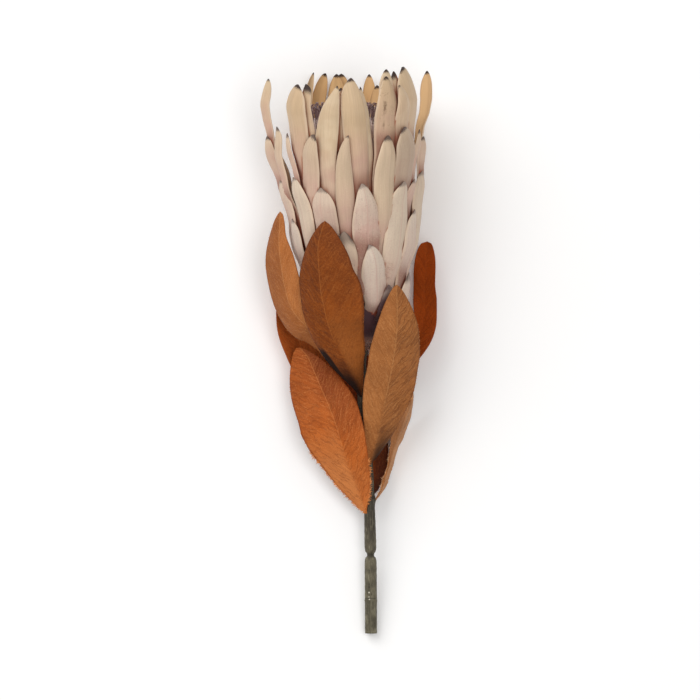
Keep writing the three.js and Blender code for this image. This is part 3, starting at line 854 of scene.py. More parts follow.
def hairsOn(tree, hairs):
    roots, ends = [], []
    for _ in range(hairs["count"]):
        height, turn = rng.uniform(*hairs["heights"]), math.radians(rng.uniform(*hairs["turns"]))
        outward = outwardAt(turn)
        start = pointAt(height, bracts["outside"], turn)
        hit, normal = tree.ray_cast(start.tolist(), (-outward).tolist())[:2]
        if hit is None:
            continue
        away = np.array(normal) * np.sign(np.dot(normal, outward)) * bracts["hairLift"]
        heading = unit(away + rng.normal(0, bracts["hairStray"], 3))
        roots.append(np.array(hit))
        ends.append(np.array(hit) + heading * hairs["length"] * rng.uniform(*bracts["hairLengths"]))
    marks = {"spot": [0, 60, 1], "tone": [0.5, 0, 0], "look": hairs["look"], "depth": [0, 0.5, 0]}
    shape = hairShape(roots, ends, bracts["hairWidth"], **marks)
    shape["marks"]["fibre"] = shape["points"]
    return shape


def bractMaterial():
    shade = bractLooks
    material, tree, skin = newMaterial("bractSkin", 0.62, sheen=0.08)
    fibre = attribute(tree, "fibre")
    spot, tone, look, depth = marksOf(tree, "spot", "tone", "look", "depth")
    grain = useGroup(tree, fibreGrain, Place=fibre, Spacing=0.9, Length=26.0, Waver=1.5)
    patch = useGroup(tree, patches, Place=fibre, Size=16.0)
    outer, inner = spot[2], minus(tree, 1.0, spot[2])
    away = sizeOf(tree, spot[0])
    fleck = noise(tree, fibre, 0.8, 4.0, 0.7)
    # rosy where the outer tier starts to cover it, partly the bracts' own blush and partly painted shade,
    # painted shade in brown-red deep between, and felted with fine flecks
    rosy = times(tree, ramp(tree, tone[1], 0.0, 0.85), depth[1])
    rosy = times(tree, rosy, plus(tree, times(tree, patch["Patch"], 0.4), 0.6))
    felt = times(tree, ramp(tree, fleck, 0.5, 0.7, 0.0, 0.5), plus(tree, look[0], 0.15))
    paleFelt = times(tree, ramp(tree, fleck, 0.5, 0.3, 0.0, 0.5), look[0])
    base = layered(
        tree,
        shade["cream"],
        (tone[0], shade["creamDeep"]),
        (times(tree, patch["Patch"], 0.45), shade["creamDeep"]),
        (look[0], shade["grey"]),
        (rosy, shade["mauve"]),
        (ramp(tree, tone[1], 0.72, 1.0, 0.0, 0.75), shade["deep"]),
        (felt, shade["mauve"]),
        (paleFelt, shade["margin"]),
    )
    streak = ramp(tree, grain["Lines"], 0.3, 0.7, 0.93, 1.04)
    base = blend(tree, 1.0, base, putTogether(tree, streak, streak, streak), "MULTIPLY")
    # the inner faces are ochre on the far side and brown elsewhere
    innerColour = blend(tree, look[1], shade["creamDeep"], shade["ochre"])
    innerMask = times(tree, inner, ramp(tree, look[1], 0.0, 0.6, 0.75, 1.0))
    marginColour = blend(tree, times(tree, inner, look[1]), shade["margin"], shade["ochreEdge"])
    keel = times(tree, ramp(tree, away, 0.09, 0.0), ramp(tree, look[0], 0.2, 0.8, 0.05, 0.5))
    # dark tips with a ragged end
    tipColour = blend(tree, look[0], shade["tip"], shade["tipSoft"])
    ragged = plus(tree, spot[1], times(tree, minus(tree, patch["Pore"], 0.5), 6.0))
    ragged = minus(tree, ragged, times(tree, grain["Lines"], 2.0))
    tipShare = over(tree, ragged, plus(tree, tone[2], 0.01))
    tipEdge = times(tree, ramp(tree, tipShare, 1.2, 0.2), ramp(tree, away, 0.55, 0.95))
    tipEdge = times(tree, tipEdge, ramp(tree, tone[2], 0.5, 2.0))
    base = layered(
        tree,
        base,
        (innerMask, innerColour),
        (times(tree, ramp(tree, away, 0.84, 0.97), 0.55), marginColour),
        (times(tree, keel, outer), shade["mauve"]),
        (times(tree, ramp(tree, tipShare, 1.0, 0.35), depth[0]), tipColour),
        (times(tree, tipEdge, 0.7), shade["tip"]),
        (times(tree, patch["Freckle"], ramp(tree, look[2], 0.0, 0.3, 0.0, 0.3)), shade["freckle"]),
    )
    run = splitUp(tree, fibre)
    broken = times(tree, minus(tree, noise(tree, fibre, 0.45, 2.0), 0.5), 1.6)
    freckled = ramp(tree, look[2], 0.5, 0.9)
    for middle, halfLong, halfWide, strength in bracts["blotches"]:
        alongBlotch = over(tree, minus(tree, run[1], middle), halfLong)
        acrossBlotch = over(tree, minus(tree, run[0], bracts["blotchAcross"]), halfWide)
        far = plus(tree, distance(tree, acrossBlotch, alongBlotch), broken)
        blotch = times(tree, ramp(tree, far, 1.3, 0.0), freckled)
        base = blend(tree, times(tree, blotch, strength), base, shade["blotch"])
    # painted shade on a bract that lies in shadow, then painted shade in the warm dark crevices between the
    # bracts
    gloom = times(tree, ramp(tree, look[2], 0.0, -1.0), ramp(tree, spot[1], 2.0, 16.0, 0.6, 1.0))
    creviceShade = times(tree, ramp(tree, depth[2], 0.35, 0.9), 0.85)
    base = layered(tree, base, (gloom, shade["gloom"]), (creviceShade, shade["creviceShade"]))
    height = plus(tree, times(tree, grain["Lines"], 0.5), times(tree, patch["Pore"], 0.35))
    height = plus(tree, height, times(tree, grain["Soft"], 0.5))
    dress(tree, skin, base, height, 0.00035, 0.7)
    roughen(tree, skin, patch["Pore"], 0.54, 0.72)
    return material


bractShapes = [
    bractShape(bract, tierIndex, order)
    for tierIndex, tierBracts in enumerate(allBracts)
    for order, bract in enumerate(tierBracts)
]
shadeUnderCovers(bractShapes)
head = join([*bractShapes, receptacleShape()])
# the blocked share is painted as shade in the crevices
head["marks"]["depth"][:, 2] = creviceShadeMarks(head, bracts["probe"])
headTree = treeOf(head)
head = join([head, *[hairsOn(headTree, hairs) for hairs in bracts["hairs"]]])
print("crevices and hairs found")
addPiece("bracts", head, bractMaterial(), "bracts", "head_bracts")

# Florets: a packed mass of downy tubes with dark curled styles standing out of it

floretMass = {
    "column": [[302.3, 20], [320, 24], [350, 33], [400, 42], [436, 45], [450, 38], [456, 18]],
    "columnSpan": (302.4, 454),
    "columnRings": 40,
    "columnShare": 0.96,
    "flutes": 40,
    "relief": 0.07,
    "topHeight": 457,
    "topVaries": 3,
    "topDroop": 9,
    "topRadius": 45,
    "tubes": 300,
    "tubeSides": 6,
    "tubeLength": 34,
    "tubeFootShare": 0.9,
    "tubeTwist": 0.05,
    "tubeRadii": 1.9 * np.array([1, 1, 1, 0.95, 0.8, 0.62, 0.3]),
    "outerTubes": 40,
    "outerSides": 7,
    "outerFoot": 318,
    "outerTop": 452,
    "outerVaries": 5,
    "outerStray": 0.3,
    "outerSway": (0.06, 0.05),
    "outerRadii": [*np.linspace(1.0, 1.9, 16)[:-3], 1.7, 1.2, 0.5],
    "outerMost": 45.5,
    "flareFrom": 436,
    "flare": 0.12,
    "styles": 280,
    "styleSides": 5,
    "styleRadii": 0.42 * np.array([1, 1, 1, 1, 1, 1.05, 1.15, 1.3, 1.35, 1.1, 0.5]),
    "styleSpread": (44.5, 47),
    "styleFoot": 12,
    "styleHeight": 466,
    "styleDroop": 6,
    "styleVaries": 5,
    "styleUpright": 0.62,
    "styleTurn": 1.1,
    "styleWay": 1.6,
    "styleShadow": 20,
    "curl": 2.6,
    "curlFrom": 0.55,
    "curlTurn": (1.1, 0.5),
    "curlVaries": (0.8, 0.5),
    "curlRise": 0.8,
    "down": 2600,
    "downDepth": 9,
    "downStray": [0.9, 0.7, 0.9],
    "downWidth": 0.22,
    "downLength": 2.4,
}
floretLooks = colours({
    "tube": "#f3dfd8",
    "tubeTip": "#fff1ea",
    "shadow": "#d0ada4",
    "style": "#542c2c",
    "styleSoft": "#d4b6b4",
})


def columnShape():
    form = floretMass
    h, t = roundGrid(np.linspace(*form["columnSpan"], form["columnRings"]), form["flutes"] * 4)
    fluted = 1 + form["relief"] * (np.abs(np.cos(t * form["flutes"] / 2)) - 0.7)
    points = pointAt(h, curveAt(form["column"], h) * fluted * form["columnShare"], t).reshape(-1, 3)
    return marked(points, roundFaces(*h.shape), spot=markOf(h.shape, 0, 470 - h, 1), tone=[0.4, 0, 0])


def tubeShape(path, radii, sides, turn, fromTip, tint, style):
    points, faces = rod(path, radii, sides, turn)
    spot = markOf((len(path), sides), 0, fromTip[:, None], 1)
    return marked(points, faces, spot=spot, tone=[tint + 0.5, style, 0])


def innerTube(i):
    form = floretMass
    share = math.sqrt((i + 0.5) / form["tubes"])
    turn = i * goldenTurn
    top = form["topHeight"] - form["topDroop"] * share**2 + form["topVaries"] * scatter(i + 0.2)
    t = np.linspace(0, 1, len(form["tubeRadii"]))
    heights = top - form["tubeLength"] * (1 - t)
    radius = form["topRadius"] * share * lerp(form["tubeFootShare"], 1, t**2)
    path = pointAt(heights, radius, turn + form["tubeTwist"] * scatter(i + 0.5) * t)
    return tubeShape(path, form["tubeRadii"], form["tubeSides"], turn, top - heights, scatter(i + 0.7), 0)


def outerTube(i):
    form = floretMass
    turn = 2 * math.pi * (i + form["outerStray"] * scatter(i + 0.9)) / form["outerTubes"]
    top = form["outerTop"] + form["outerVaries"] * scatter(i + 0.4)
    heights = np.linspace(form["outerFoot"], top, len(form["outerRadii"]))
    outline = np.minimum(curveAt(form["column"], heights), form["outerMost"])
    flared = form["topRadius"] + (heights - form["flareFrom"]) * form["flare"]
    lean = np.where(heights > form["flareFrom"], flared, outline)
    size, bend = form["outerSway"]
    path = pointAt(heights, lean, turn + size * np.sin(heights * bend + i))
    return tubeShape(path, form["outerRadii"], form["outerSides"], turn, top - heights, scatter(i + 0.1), 0)


def styleShape(i):
    # each stands up, leans and curls over at its end
    form = floretMass
    share = math.sqrt((i + 0.5) / form["styles"])
    turn = i * goldenTurn + form["styleTurn"]
    foot = form["topHeight"] - form["styleFoot"] - form["topDroop"] * share**2
    top = form["styleHeight"] - form["styleDroop"] * share**2 + form["styleVaries"] * scatter(i + 0.35)
    heading = turn + math.pi * form["styleWay"] * scatter(i + 0.15)
    t = np.linspace(0, 1, len(form["styleRadii"]))
    heights = lerp(foot, top, np.minimum(t / form["styleUpright"], 1))
    path = pointAt(heights, lerp(*form["styleSpread"], t) * share, turn)
    curled = np.clip((t - form["curlFrom"]) / (1 - form["curlFrom"]), 0, 1)
    hook = curled * math.pi * varied(form["curlTurn"], i + 0.55)
    bend = form["curl"] * varied(form["curlVaries"], i + 0.75)
    path += outwardAt(heading) * (bend * (1 - np.cos(hook)))[:, None]
    path[:, 1] += bend * form["curlRise"] * np.sin(hook)
    fromTip = (1 - t) * form["styleShadow"]
    return tubeShape(path, form["styleRadii"], form["styleSides"], turn, fromTip, scatter(i + 0.95), 1)


def downShape():
    # pale down on the tube tips
    form = floretMass
    count = form["down"]
    share = np.sqrt(rng.uniform(0, 1, count))
    turn = rng.uniform(0, 2 * math.pi, count)
    sunk = rng.uniform(0, form["downDepth"], count)
    roots = pointAt(form["topHeight"] - form["topDroop"] * share**2 - sunk, form["outerMost"] * share, turn)
    ends = roots + rng.normal(size=(count, 3)) * form["downStray"] + [0, form["downLength"], 0]
    return hairShape(roots, ends, form["downWidth"], spot=[0, 0, 1], tone=[0.9, 0.2, 0])


def floretMaterial():
    shade = floretLooks
    material, tree, skin = newMaterial("floretDown", 0.85, sheen=0.35)
    spot, tone = marksOf(tree, "spot", "tone")
    place = addNode(tree, "ShaderNodeNewGeometry").outputs["Position"]
    patch = useGroup(tree, patches, Place=scaled(tree, place, 1000), Size=5.0)
    tube = layered(
        tree,
        shade["shadow"],
        (ramp(tree, spot[1], 60.0, 2.0), shade["tube"]),
        (times(tree, tone[0], 0.6), shade["tubeTip"]),
        (times(tree, patch["Patch"], 0.3), shade["shadow"]),
    )
    style = blend(tree, times(tree, tone[0], 0.5), shade["style"], shade["styleSoft"])
    dress(tree, skin, blend(tree, tone[1], tube, style), patch["Pore"], 0.0003, 0.8)
    return material


tubes = [innerTube(i) for i in range(floretMass["tubes"])]
outerTubes = [outerTube(i) for i in range(floretMass["outerTubes"])]
styles = [styleShape(i) for i in range(floretMass["styles"])]
florets = join([columnShape(), *tubes, *outerTubes, *styles, downShape()])
addPiece("floretMass", florets, floretMaterial(), "florets", "florets")

# Leaves

leafForm = {
    "thick": 0.6,
    "edgeThick": 0.3,
    "leastHalf": 0.9,
    "endHalf": 0.1,
    "solidThick": 0.8,
    "rows": 54,
    "evenRows": 0.55,
    "columns": 21,
    "roundColumns": 0.4,
    "ribSteps": 60,
    "tangentReach": 0.012,
    "outlineWaves": [(0.01, 19, 1, 0), (0.006, 41, 2, 0)],
    "footEase": 8,
    "tipEase": 10,
    "sideEase": 0.8,
    "ribRise": 0.5,
    "ribWidth": 1.2,
    "ribFade": 1.1,
    "veinRise": 0.06,
    "veinSpacing": 4.6,
    "veinOffset": 0.35,
    "veinWaves": [(0.8, 23, 1, 0)],
    "foldRise": 0.3,
    "foldSpacing": 10.5,
    "foldWaves": [(1.3, 9, 1, 0), (0.5, 31, 3, 0)],
    "foldSizes": [(0.5, 17, 5, 1)],
    "edgeRise": 0.9,
    "edgeWaves": [(1, 13, 3, 1.2), (0.5, 29, 1, 2)],
    "shadeEase": 0.3,
    "footShadeLength": 0.22,
    "midribHalf": 0.6,
    "frayWidth": 0.75,
    "frayPale": 1.0,
    "frayFoot": 0.4,
    "frayLengths": (0.3, 1.0),
    "frayOut": (0.2, 1.0),
    "frayAlong": 0.8,
    "frayStray": 0.3,
    "frayFlat": [1, 1, 0.6],
    "plainFrays": [["left", 0.1, 0.95, 10, 0.8], ["right", 0.1, 0.95, 10, 0.8]],
    "shadow": "#200d05",
}

# each leaf: where it leaves the stem, its midrib, the turns its outer face looks to, its half widths
# and its colours
leaves = [
    dict(name="leafLeft", node="leaf_left", slot="leaf_tan", height=217, turn=-70,
         rib=[[-23, 233, 10], [-48, 265, 22], [-70, 288, 20.5], [-84, 343, 12], [-80.2, 372, 6]],
         facing=[-54, -48], left=24.5, right=21.4, fullest=[0.49, 0.5], power=0.59, bow=0.16, veinSweep=1.7,
         paintedHalves=[(-0.3, -0.6), (0.1, 0)], footShade=[0.2, 0.2], wrinkles=[0.7, 0.5], ribShows=0.35,
         ribOff=[[0, 0], [0.28, -4], [0.34, -3.4], [0.55, 0], [0.66, 2.6], [0.76, 4], [0.87, 4.4], [1, 0]],
         frays=[["left", 0.1, 0.9, 30, 1.2]],
         base="#b36b34", deep="#7e4014", pale="#d69a62"),
    dict(name="leafUpperLeft", node="leaf_upper_left", slot="leaf_brown", height=209, turn=-12,
         rib=[[-29, 235, 24], [-45, 269, 36], [-46.4, 317, 50], [-44.6, 334, 54], [-40.4, 362, 57]],
         facing=[-20, -26], left=19, right=41, fullest=[0.71, 0.54], power=0.72, bow=0.2, rimShade=1.9,
         paintedHalves=[(-0.1, -0.35), (0.45, -0.2)], footShade=[1.3, 0.5], wrinkles=[1, 0.3], ribShows=0.4,
         ribOff=[[0, 0], [0.15, 7], [0.3, 9], [0.42, 9], [0.55, 6.6], [0.66, 3], [0.78, 0], [0.88, -3],
                 [1, 0]],
         frays=[["right", 0.1, 0.6, 26, 1.2]],
         base="#8a430b", deep="#4a1c03", pale="#b06a30"),
    dict(name="leafLowerLeft", node="leaf_lower_left", slot="leaf_rust", height=106, turn=-32,
         rib=[[-10.4, 132, 12], [-22, 165, 19], [-33, 192, 16], [-49, 220.4, 1.4], [-66, 252, -10.5]],
         facing=[-22, -14], left=36, right=23, fullest=[0.53, 0.61], power=0.65, bow=0.18,
         paintedHalves=[(0.6, -0.4), (0.15, -1)], footShade=[0, 0], wrinkles=[0.9, 0.9], ribShows=0.3,
         ribOff=[[0, 0], [0.3, -4], [0.5, -1.5], [0.6, 0], [0.72, 2.3], [0.82, 3.8], [0.92, 5], [1, 2]],
         frays=[["left", 0.0, 0.42, 300, 4.2], ["right", 0.05, 0.28, 190, 3.6], ["left", 0.4, 0.95, 30, 1.6]],
         base="#b75c1e", deep="#7c360b", pale="#da8c4e"),
    dict(name="leafUpperRight", node="leaf_upper_right", slot="leaf_tan", height=149, turn=15,
         rib=[[3.6, 167, 13], [11.5, 203, 25], [18.5, 237, 32], [22.4, 269, 39], [22.1, 307, 42]],
         facing=[15, 25], left=22, right=27, fullest=[0.56, 0.55], power=0.69, bow=0.18, veinSweep=1.6,
         paintedHalves=[(0, 0), (-0.25, -0.25)], footShade=[0, 0.95], wrinkles=[0.5, 1.4], ribShows=0.35,
         frays=[["right", 0.3, 0.8, 50, 1.4]],
         base="#ab6a36", deep="#78431d", pale="#d0945c"),
    dict(name="leafRight", node="leaf_right", slot="leaf_red", height=212, turn=132,
         rib=[[6.2, 231, -14], [30, 244, -20], [46, 270.5, -24], [48, 308, -29], [50.3, 346.7, -32]],
         facing=[140, 150], left=14.7, right=11.6, fullest=[0.5, 0.8], power=0.35, bow=0.14, veinSweep=1.5,
         paintedHalves=[(-0.1, -0.1), (0.1, 0)], footShade=[0.2, 0.2], wrinkles=[0.6, 0.6], ribShows=0.1,
         frays=[["right", 0.3, 0.95, 20, 1]],
         base="#a8460c", deep="#6d2804", pale="#c06424"),
    dict(name="leafUnderLeft", node="leaf_under_left", slot="leaf_brown", height=165, turn=-128,
         rib=[[-17, 184, -16], [-50.5, 228, -27], [-70, 276, -29], [-74.4, 323, -30]],
         facing=[-140, -145], left=24, right=21, fullest=[0.54, 0.57], power=0.65, bow=0.14,
         paintedHalves=[(0.2, 0.2), (-0.2, -0.2)], footShade=[0.2, 0.2], wrinkles=[0.6, 0.6], ribShows=0.2,
         frays=[["left", 0.1, 0.9, 20, 1]],
         base="#bb5a20", deep="#7f370e", pale="#d07c3e"),
    dict(name="leafLowerRight", node="leaf_lower_right", slot="leaf_tan", height=118, turn=80,
         rib=[[9.4, 128, -2], [22.5, 169.5, -8], [35, 201, -9.5], [37.5, 212, -10]],
         facing=[70, 65], left=14, right=22, fullest=[0.8, 0.52], power=0.65, bow=0.24, veinSweep=5.5,
         paintedHalves=[(-0.6, -0.2), (0.3, 0.4)], footShade=[0, 0], wrinkles=[2.2, 2.2], ribShows=0.2,
         frays=[["left", 0.0, 0.8, 120, 3], ["right", 0.0, 0.7, 70, 2]],
         base="#bd7b45", deep="#8a5028", pale="#e0ad80"),
    dict(name="leafUnderRight", node="leaf_under_right", slot="leaf_red", height=121, turn=160,
         rib=[[3, 137, -11], [3, 157, -18], [-1, 205, -29], [-3, 230, -32]],
         facing=[170, 178], left=13, right=14, fullest=[0.45, 0.45], power=0.68, bow=0.12, veinSweep=3.0,
         paintedHalves=[(-1, -0.5), (0.15, 0)], footShade=[0.6, 0], wrinkles=[0.6, 0.6], ribShows=0.5,
         frays=[["left", 0.0, 0.4, 40, 2], ["right", 0.0, 0.4, 60, 2.4]],
         base="#8f4218", deep="#5a240c", pale="#b06733"),
    dict(name="leafUnder", node="leaf_under", slot="leaf_red", height=190, turn=-170,
         rib=[[-14, 214, -20], [-20, 243, -34], [-22, 280, -43]],
         facing=[-170, -176], left=19, right=18, fullest=[0.52, 0.52], power=0.68, bow=0.06,
         paintedHalves=[(0, 0), (0, 0)], footShade=[0.1, 0.1], wrinkles=[0.5, 0.5], ribShows=0.1,
         base="#a8481a", deep="#552007", pale="#a8592a"),
]
plainLeaf = dict(veinSweep=1.45, rimShade=0, ribOff=[[0, 0], [1, 0]], frays=[])


def midrib(knots, shares):
    # a centripetal curve through the knots, read at equal shares of its length
    knots = np.asarray(knots, float)
    full = np.vstack([2 * knots[0] - knots[1], knots, 2 * knots[-1] - knots[-2]])
    steps = np.linalg.norm(np.diff(full, axis=0), axis=1) ** 0.5
    t = np.linspace(0, 1, leafForm["ribSteps"], endpoint=False)[:, None]
    samples = []
    for k in range(1, len(full) - 2):
        x0, x1, x2, x3 = full[k - 1 : k + 3]
        d0, d1, d2 = steps[k - 1 : k + 2]
        m1 = ((x1 - x0) / d0 - (x2 - x0) / (d0 + d1) + (x2 - x1) / d1) * d1
        m2 = ((x2 - x1) / d1 - (x3 - x1) / (d1 + d2) + (x3 - x2) / d2) * d1
        bend, turnBack = 3 * x2 - 3 * x1 - 2 * m1 - m2, 2 * x1 - 2 * x2 + m1 + m2
        samples.append(x1 + m1 * t + bend * t**2 + turnBack * t**3)
    line = np.vstack([*samples, knots[-1:]])
    run = np.concatenate([[0], np.cumsum(np.linalg.norm(np.diff(line, axis=0), axis=1))])

    def readAt(where):
        return np.stack([np.interp(where * run[-1], run, line[:, axis]) for axis in range(3)], -1)

    before, after = (np.clip(shares + way * leafForm["tangentReach"], 0, 1) for way in (-1, 1))
    return readAt(shares), unit(readAt(after) - readAt(before)), run[-1]


def leafHalf(leaf, side, fullest, shares, seed):
    outline = np.clip(np.sin(math.pi * shares ** (math.log(0.5) / math.log(fullest))), 0, 1) ** leaf["power"]
    wobble = 1 + wavesAlong(leafForm["outlineWaves"], shares, seed)
    least = leafForm["leastHalf"] * ease((1 - shares) * 12) + leafForm["endHalf"]
    return np.maximum(leaf[side] * outline * wobble, least)


def leafRelief(leaf, seed, p, s, place, sideOf, wrinkled):
    # the midrib, fine veins and soft folds that sweep off it, and rims that wave
    form = leafForm
    settled = ease(s * form["footEase"]) * ease((1 - s) * form["tipEase"])
    slant = place[1] - np.abs(place[0]) * leaf["veinSweep"]
    veinTurns = slant / form["veinSpacing"] + form["veinOffset"] * sideOf
    veinPhase = 2 * math.pi * (veinTurns + wavesAlong(form["veinWaves"], s, seed))
    foldPhase = 2 * math.pi * (slant / form["foldSpacing"] + wavesAlong(form["foldWaves"], s, seed))
    foldShare = 0.5 + wavesAlong(form["foldSizes"], s, seed, 2 * sideOf + p * 3)
    rib = form["ribRise"] * np.exp(-((place[0] / form["ribWidth"]) ** 2)) * (form["ribFade"] - s)
    veins = -form["veinRise"] * np.cos(veinPhase) * (1 - p**6)
    folds = form["foldRise"] * wrinkled * foldShare * np.abs(p) ** 0.5 * np.sin(foldPhase) * (1 - p**8)
    edges = form["edgeRise"] * np.abs(p) ** 3 * wavesAlong(form["edgeWaves"], s, seed, np.sign(p))
    return rib + (veins + folds + edges) * settled


def leafShape(leaf, order):
    seed = order * 2.3
    foot = curveAt(stemOutline, leaf["height"]) + growth["clearance"] + leafForm["solidThick"]
    base = pointAt(leaf["height"], foot, math.radians(leaf["turn"]))
    even = np.linspace(0, 1, leafForm["rows"])
    shares = lerp((1 - np.cos(even * math.pi)) / 2, even, leafForm["evenRows"])
    centres, along, length = midrib([base, *leaf["rib"]], shares)
    left, right = (leafHalf(leaf, *side, shares, seed) for side in zip(("left", "right"), leaf["fullest"]))
    q = np.linspace(-1, 1, leafForm["columns"])
    p = np.sign(q) * lerp(np.abs(q), np.sin(np.abs(q) * math.pi / 2), leafForm["roundColumns"])
    s = shares[:, None]
    # the vein that shows as the midrib may wander off the blade's middle
    acrossMm = p * np.where(p < 0, left[:, None], right[:, None]) - curveAt(leaf["ribOff"], shares)[:, None]
    alongMm = s * length
    sideOf = np.tanh(acrossMm * leafForm["sideEase"])
    wrinkled = lerp(*leaf["wrinkles"], (sideOf + 1) / 2)
    relief = leafRelief(leaf, seed, p, s, (acrossMm, alongMm), sideOf, wrinkled)
    facing = np.radians(lerp(*leaf["facing"], shares))
    points, faces, halves = blade(centres, along, facing, left, right, leaf["bow"], leafForm, p, relief)
    # painted light and shade on the blade's two halves, and a painted shadow on the foot where its neighbours
    # shade it
    leftPanel, rightPanel = (lerp(low, high, ease(s * 1.4 - 0.2)) for low, high in leaf["paintedHalves"])
    panel = lerp(leftPanel, rightPanel, (sideOf + 1) / 2)
    nearFoot = np.exp(-((s / leafForm["footShadeLength"]) ** 2))
    shadeSide = np.tanh(acrossMm * leafForm["shadeEase"])
    shadow = lerp(*leaf["footShade"], (shadeSide + 1) / 2) * nearFoot
    shadow = shadow + leaf["rimShade"] * ease((-p - 0.1) * 1.9) * ease((0.4 - s) * 5.5)
    ribShows = leaf["ribShows"] * ease((s - 0.25) * 4)

    rows, wide = halves.shape

    def onBoth(*parts):
        return markOf((rows, 2 * wide), *(bothFaces(part, halves.shape) for part in parts))

    shape = marked(
        points,
        faces,
        spot=onBoth(p, s, panel),
        tone=onBoth(acrossMm, alongMm, seed * 11),
        # wrinkle strength, how far the rib shows, and the painted shadow
        wear=onBoth(wrinkled, ribShows, shadow),
    )
    return join([shape, frayShape(leaf, shape, shares, wide)])


def frayShape(leaf, shape, shares, wide):
    # loose pale fibres along the rims: each stretch is (side, from share, to share, count, length in mm)
    rings = shape["points"].reshape(len(shares), 2 * wide, 3)
    roots, ends, beside = [], [], []
    for side, low, high, count, reach in leaf["frays"] + leafForm["plainFrays"]:
        column, inward = (0, 1) if side == "left" else (wide - 1, -1)
        row = np.interp(rng.uniform(low, high, count), shares, np.arange(len(shares)))
        k = np.minimum(row.astype(int), len(shares) - 2)
        t = (row - k)[:, None]
        edge = lerp(rings[k, column], rings[k + 1, column], t)
        outward = unit(edge - lerp(rings[k, column + inward], rings[k + 1, column + inward], t))
        along = unit(rings[k + 1, column] - rings[k, column])
        long = reach * rng.uniform(*leafForm["frayLengths"], (count, 1))
        heading = outward * rng.uniform(*leafForm["frayOut"], (count, 1))
        heading = heading + along * rng.normal(0, leafForm["frayAlong"], (count, 1))
        heading = heading + rng.normal(0, leafForm["frayStray"], (count, 3)) * leafForm["frayFlat"]
        roots.append(edge - outward * leafForm["frayFoot"])
        ends.append(edge + unit(heading) * long)
        beside.append(k * 2 * wide + column)
    index = np.repeat(np.concatenate(beside), 3)
    spot, tone, wear = (shape["marks"][name][index] for name in ("spot", "tone", "wear"))
    pale = spot * [0.5, 1, 0] + [0, 0, leafForm["frayPale"]]
    # the frays keep half of the painted shadow beside them
    marks = {"spot": pale, "tone": tone, "wear": wear * [0, 0, 0.5]}
    return hairShape(np.vstack(roots), np.vstack(ends), leafForm["frayWidth"], **marks)


def leafMaterial(leaf):
    base, deep, pale = (colour(leaf[name]) for name in ("base", "deep", "pale"))
    material, tree, skin = newMaterial(leaf["name"] + "Skin", 0.6, specular=0.16)
    place = attribute(tree, "tone")
    spot, run, wear = marksOf(tree, "spot", "tone", "wear")
    sweep = leaf["veinSweep"]
    form = {"Spacing": leafForm["veinSpacing"], "Sweep": sweep, "Midrib": leafForm["midribHalf"]}
    veins = useGroup(tree, leafVeins, Place=place, **form)
    patch = useGroup(tree, patches, Place=place, Size=18.0)
    slant = minus(tree, run[1], times(tree, sizeOf(tree, run[0]), sweep))
    alongVeins = putTogether(tree, slant, run[0], run[2])
    grain = useGroup(tree, fibreGrain, Place=alongVeins, Spacing=1.3, Length=8.0, Waver=14.0)
    crease = times(tree, veins["Wrinkle"], wear[0])
    skinColour = layered(
        tree,
        base,
        (times(tree, patch["Patch"], 0.26), deep),
        # spot's third value: painted light and shade on the two halves, and the frays' own pale colour
        (maths(tree, "MAXIMUM", spot[2], 0.0), pale),
        (maths(tree, "MAXIMUM", times(tree, spot[2], -1.0), 0.0), deep),
        (ramp(tree, grain["Lines"], 0.5, 0.74, 0.0, 0.3), pale),
        (ramp(tree, grain["Soft"], 0.35, 0.6, 0.14, 0.0), deep),
        (ramp(tree, veins["Fleck"], 0.5, 0.68, 0.0, 0.3), pale),
        (ramp(tree, veins["Fleck"], 0.5, 0.34, 0.0, 0.26), deep),
        (times(tree, veins["Side"], 0.3), pale),
        # painted shade in the creases of the wrinkles
        (times(tree, crease, 0.45), deep),
        (times(tree, veins["Rib"], wear[1]), pale),
        (ramp(tree, sizeOf(tree, spot[0]), 0.93, 1.0, 0.0, 0.5), deep),
        (times(tree, patch["Freckle"], 0.25), deep),
        # painted shadow at the foot and along the rim
        (ramp(tree, wear[2], 0.1, 1.0), colour(leafForm["shadow"])),
    )
    height = minus(tree, times(tree, veins["Side"], 0.4), crease)
    for part, share in ((grain["Lines"], 0.9), (grain["Soft"], 0.6), (veins["Fleck"], 0.9)):
        height = plus(tree, height, times(tree, part, share))
    dress(tree, skin, skinColour, height, 0.0004, 0.7)
    roughen(tree, skin, patch["Pore"], 0.5, 0.72)
    return material


for order, leaf in enumerate(leaves):
    leaf = {**plainLeaf, **leaf}
    addPiece(leaf["name"], leafShape(leaf, order), leafMaterial(leaf), leaf["slot"], leaf["node"])

# Stem

stemForm = {
    "sides": 44,
    "step": 1.25,
    "flutes": 9,
    "flute": 0.1,
    "fluteTwist": 0.02,
    "fluteReach": 20,
    "bark": 0.07,
    "barkBends": 0.9,
    "barkSway": 2,
    "barkSides": 5,
    "barkTwist": 0.13,
    "scarRise": 1.2,
    "scarLength": 3.2,
    "scarTurn": 0.55,
    "neck": 69.0,
    "seam": 31.0,
    # dark pits and pale chips on the upper side: place across, height, size and colour
    "marks": [
        [-1.4, 41.0, 0.5, "dark"],
        [-1.5, 36.2, 0.5, "knot"],
        [-1.6, 32.3, 0.3, "knot"],
        [-1.2, 30.2, 0.4, "knot"],
        [3.4, 120.0, 1.6, "dark"],
    ],
    "span": 5,  # how many mm of bark one radian round the stem is
    "underSide": 30,
}
stemLooks = colours({
    "bark": "#67604c",
    "dark": "#2e281c",
    "pale": "#a39c80",
    "upper": "#342a20",
    "knot": "#d9d2bd",
})


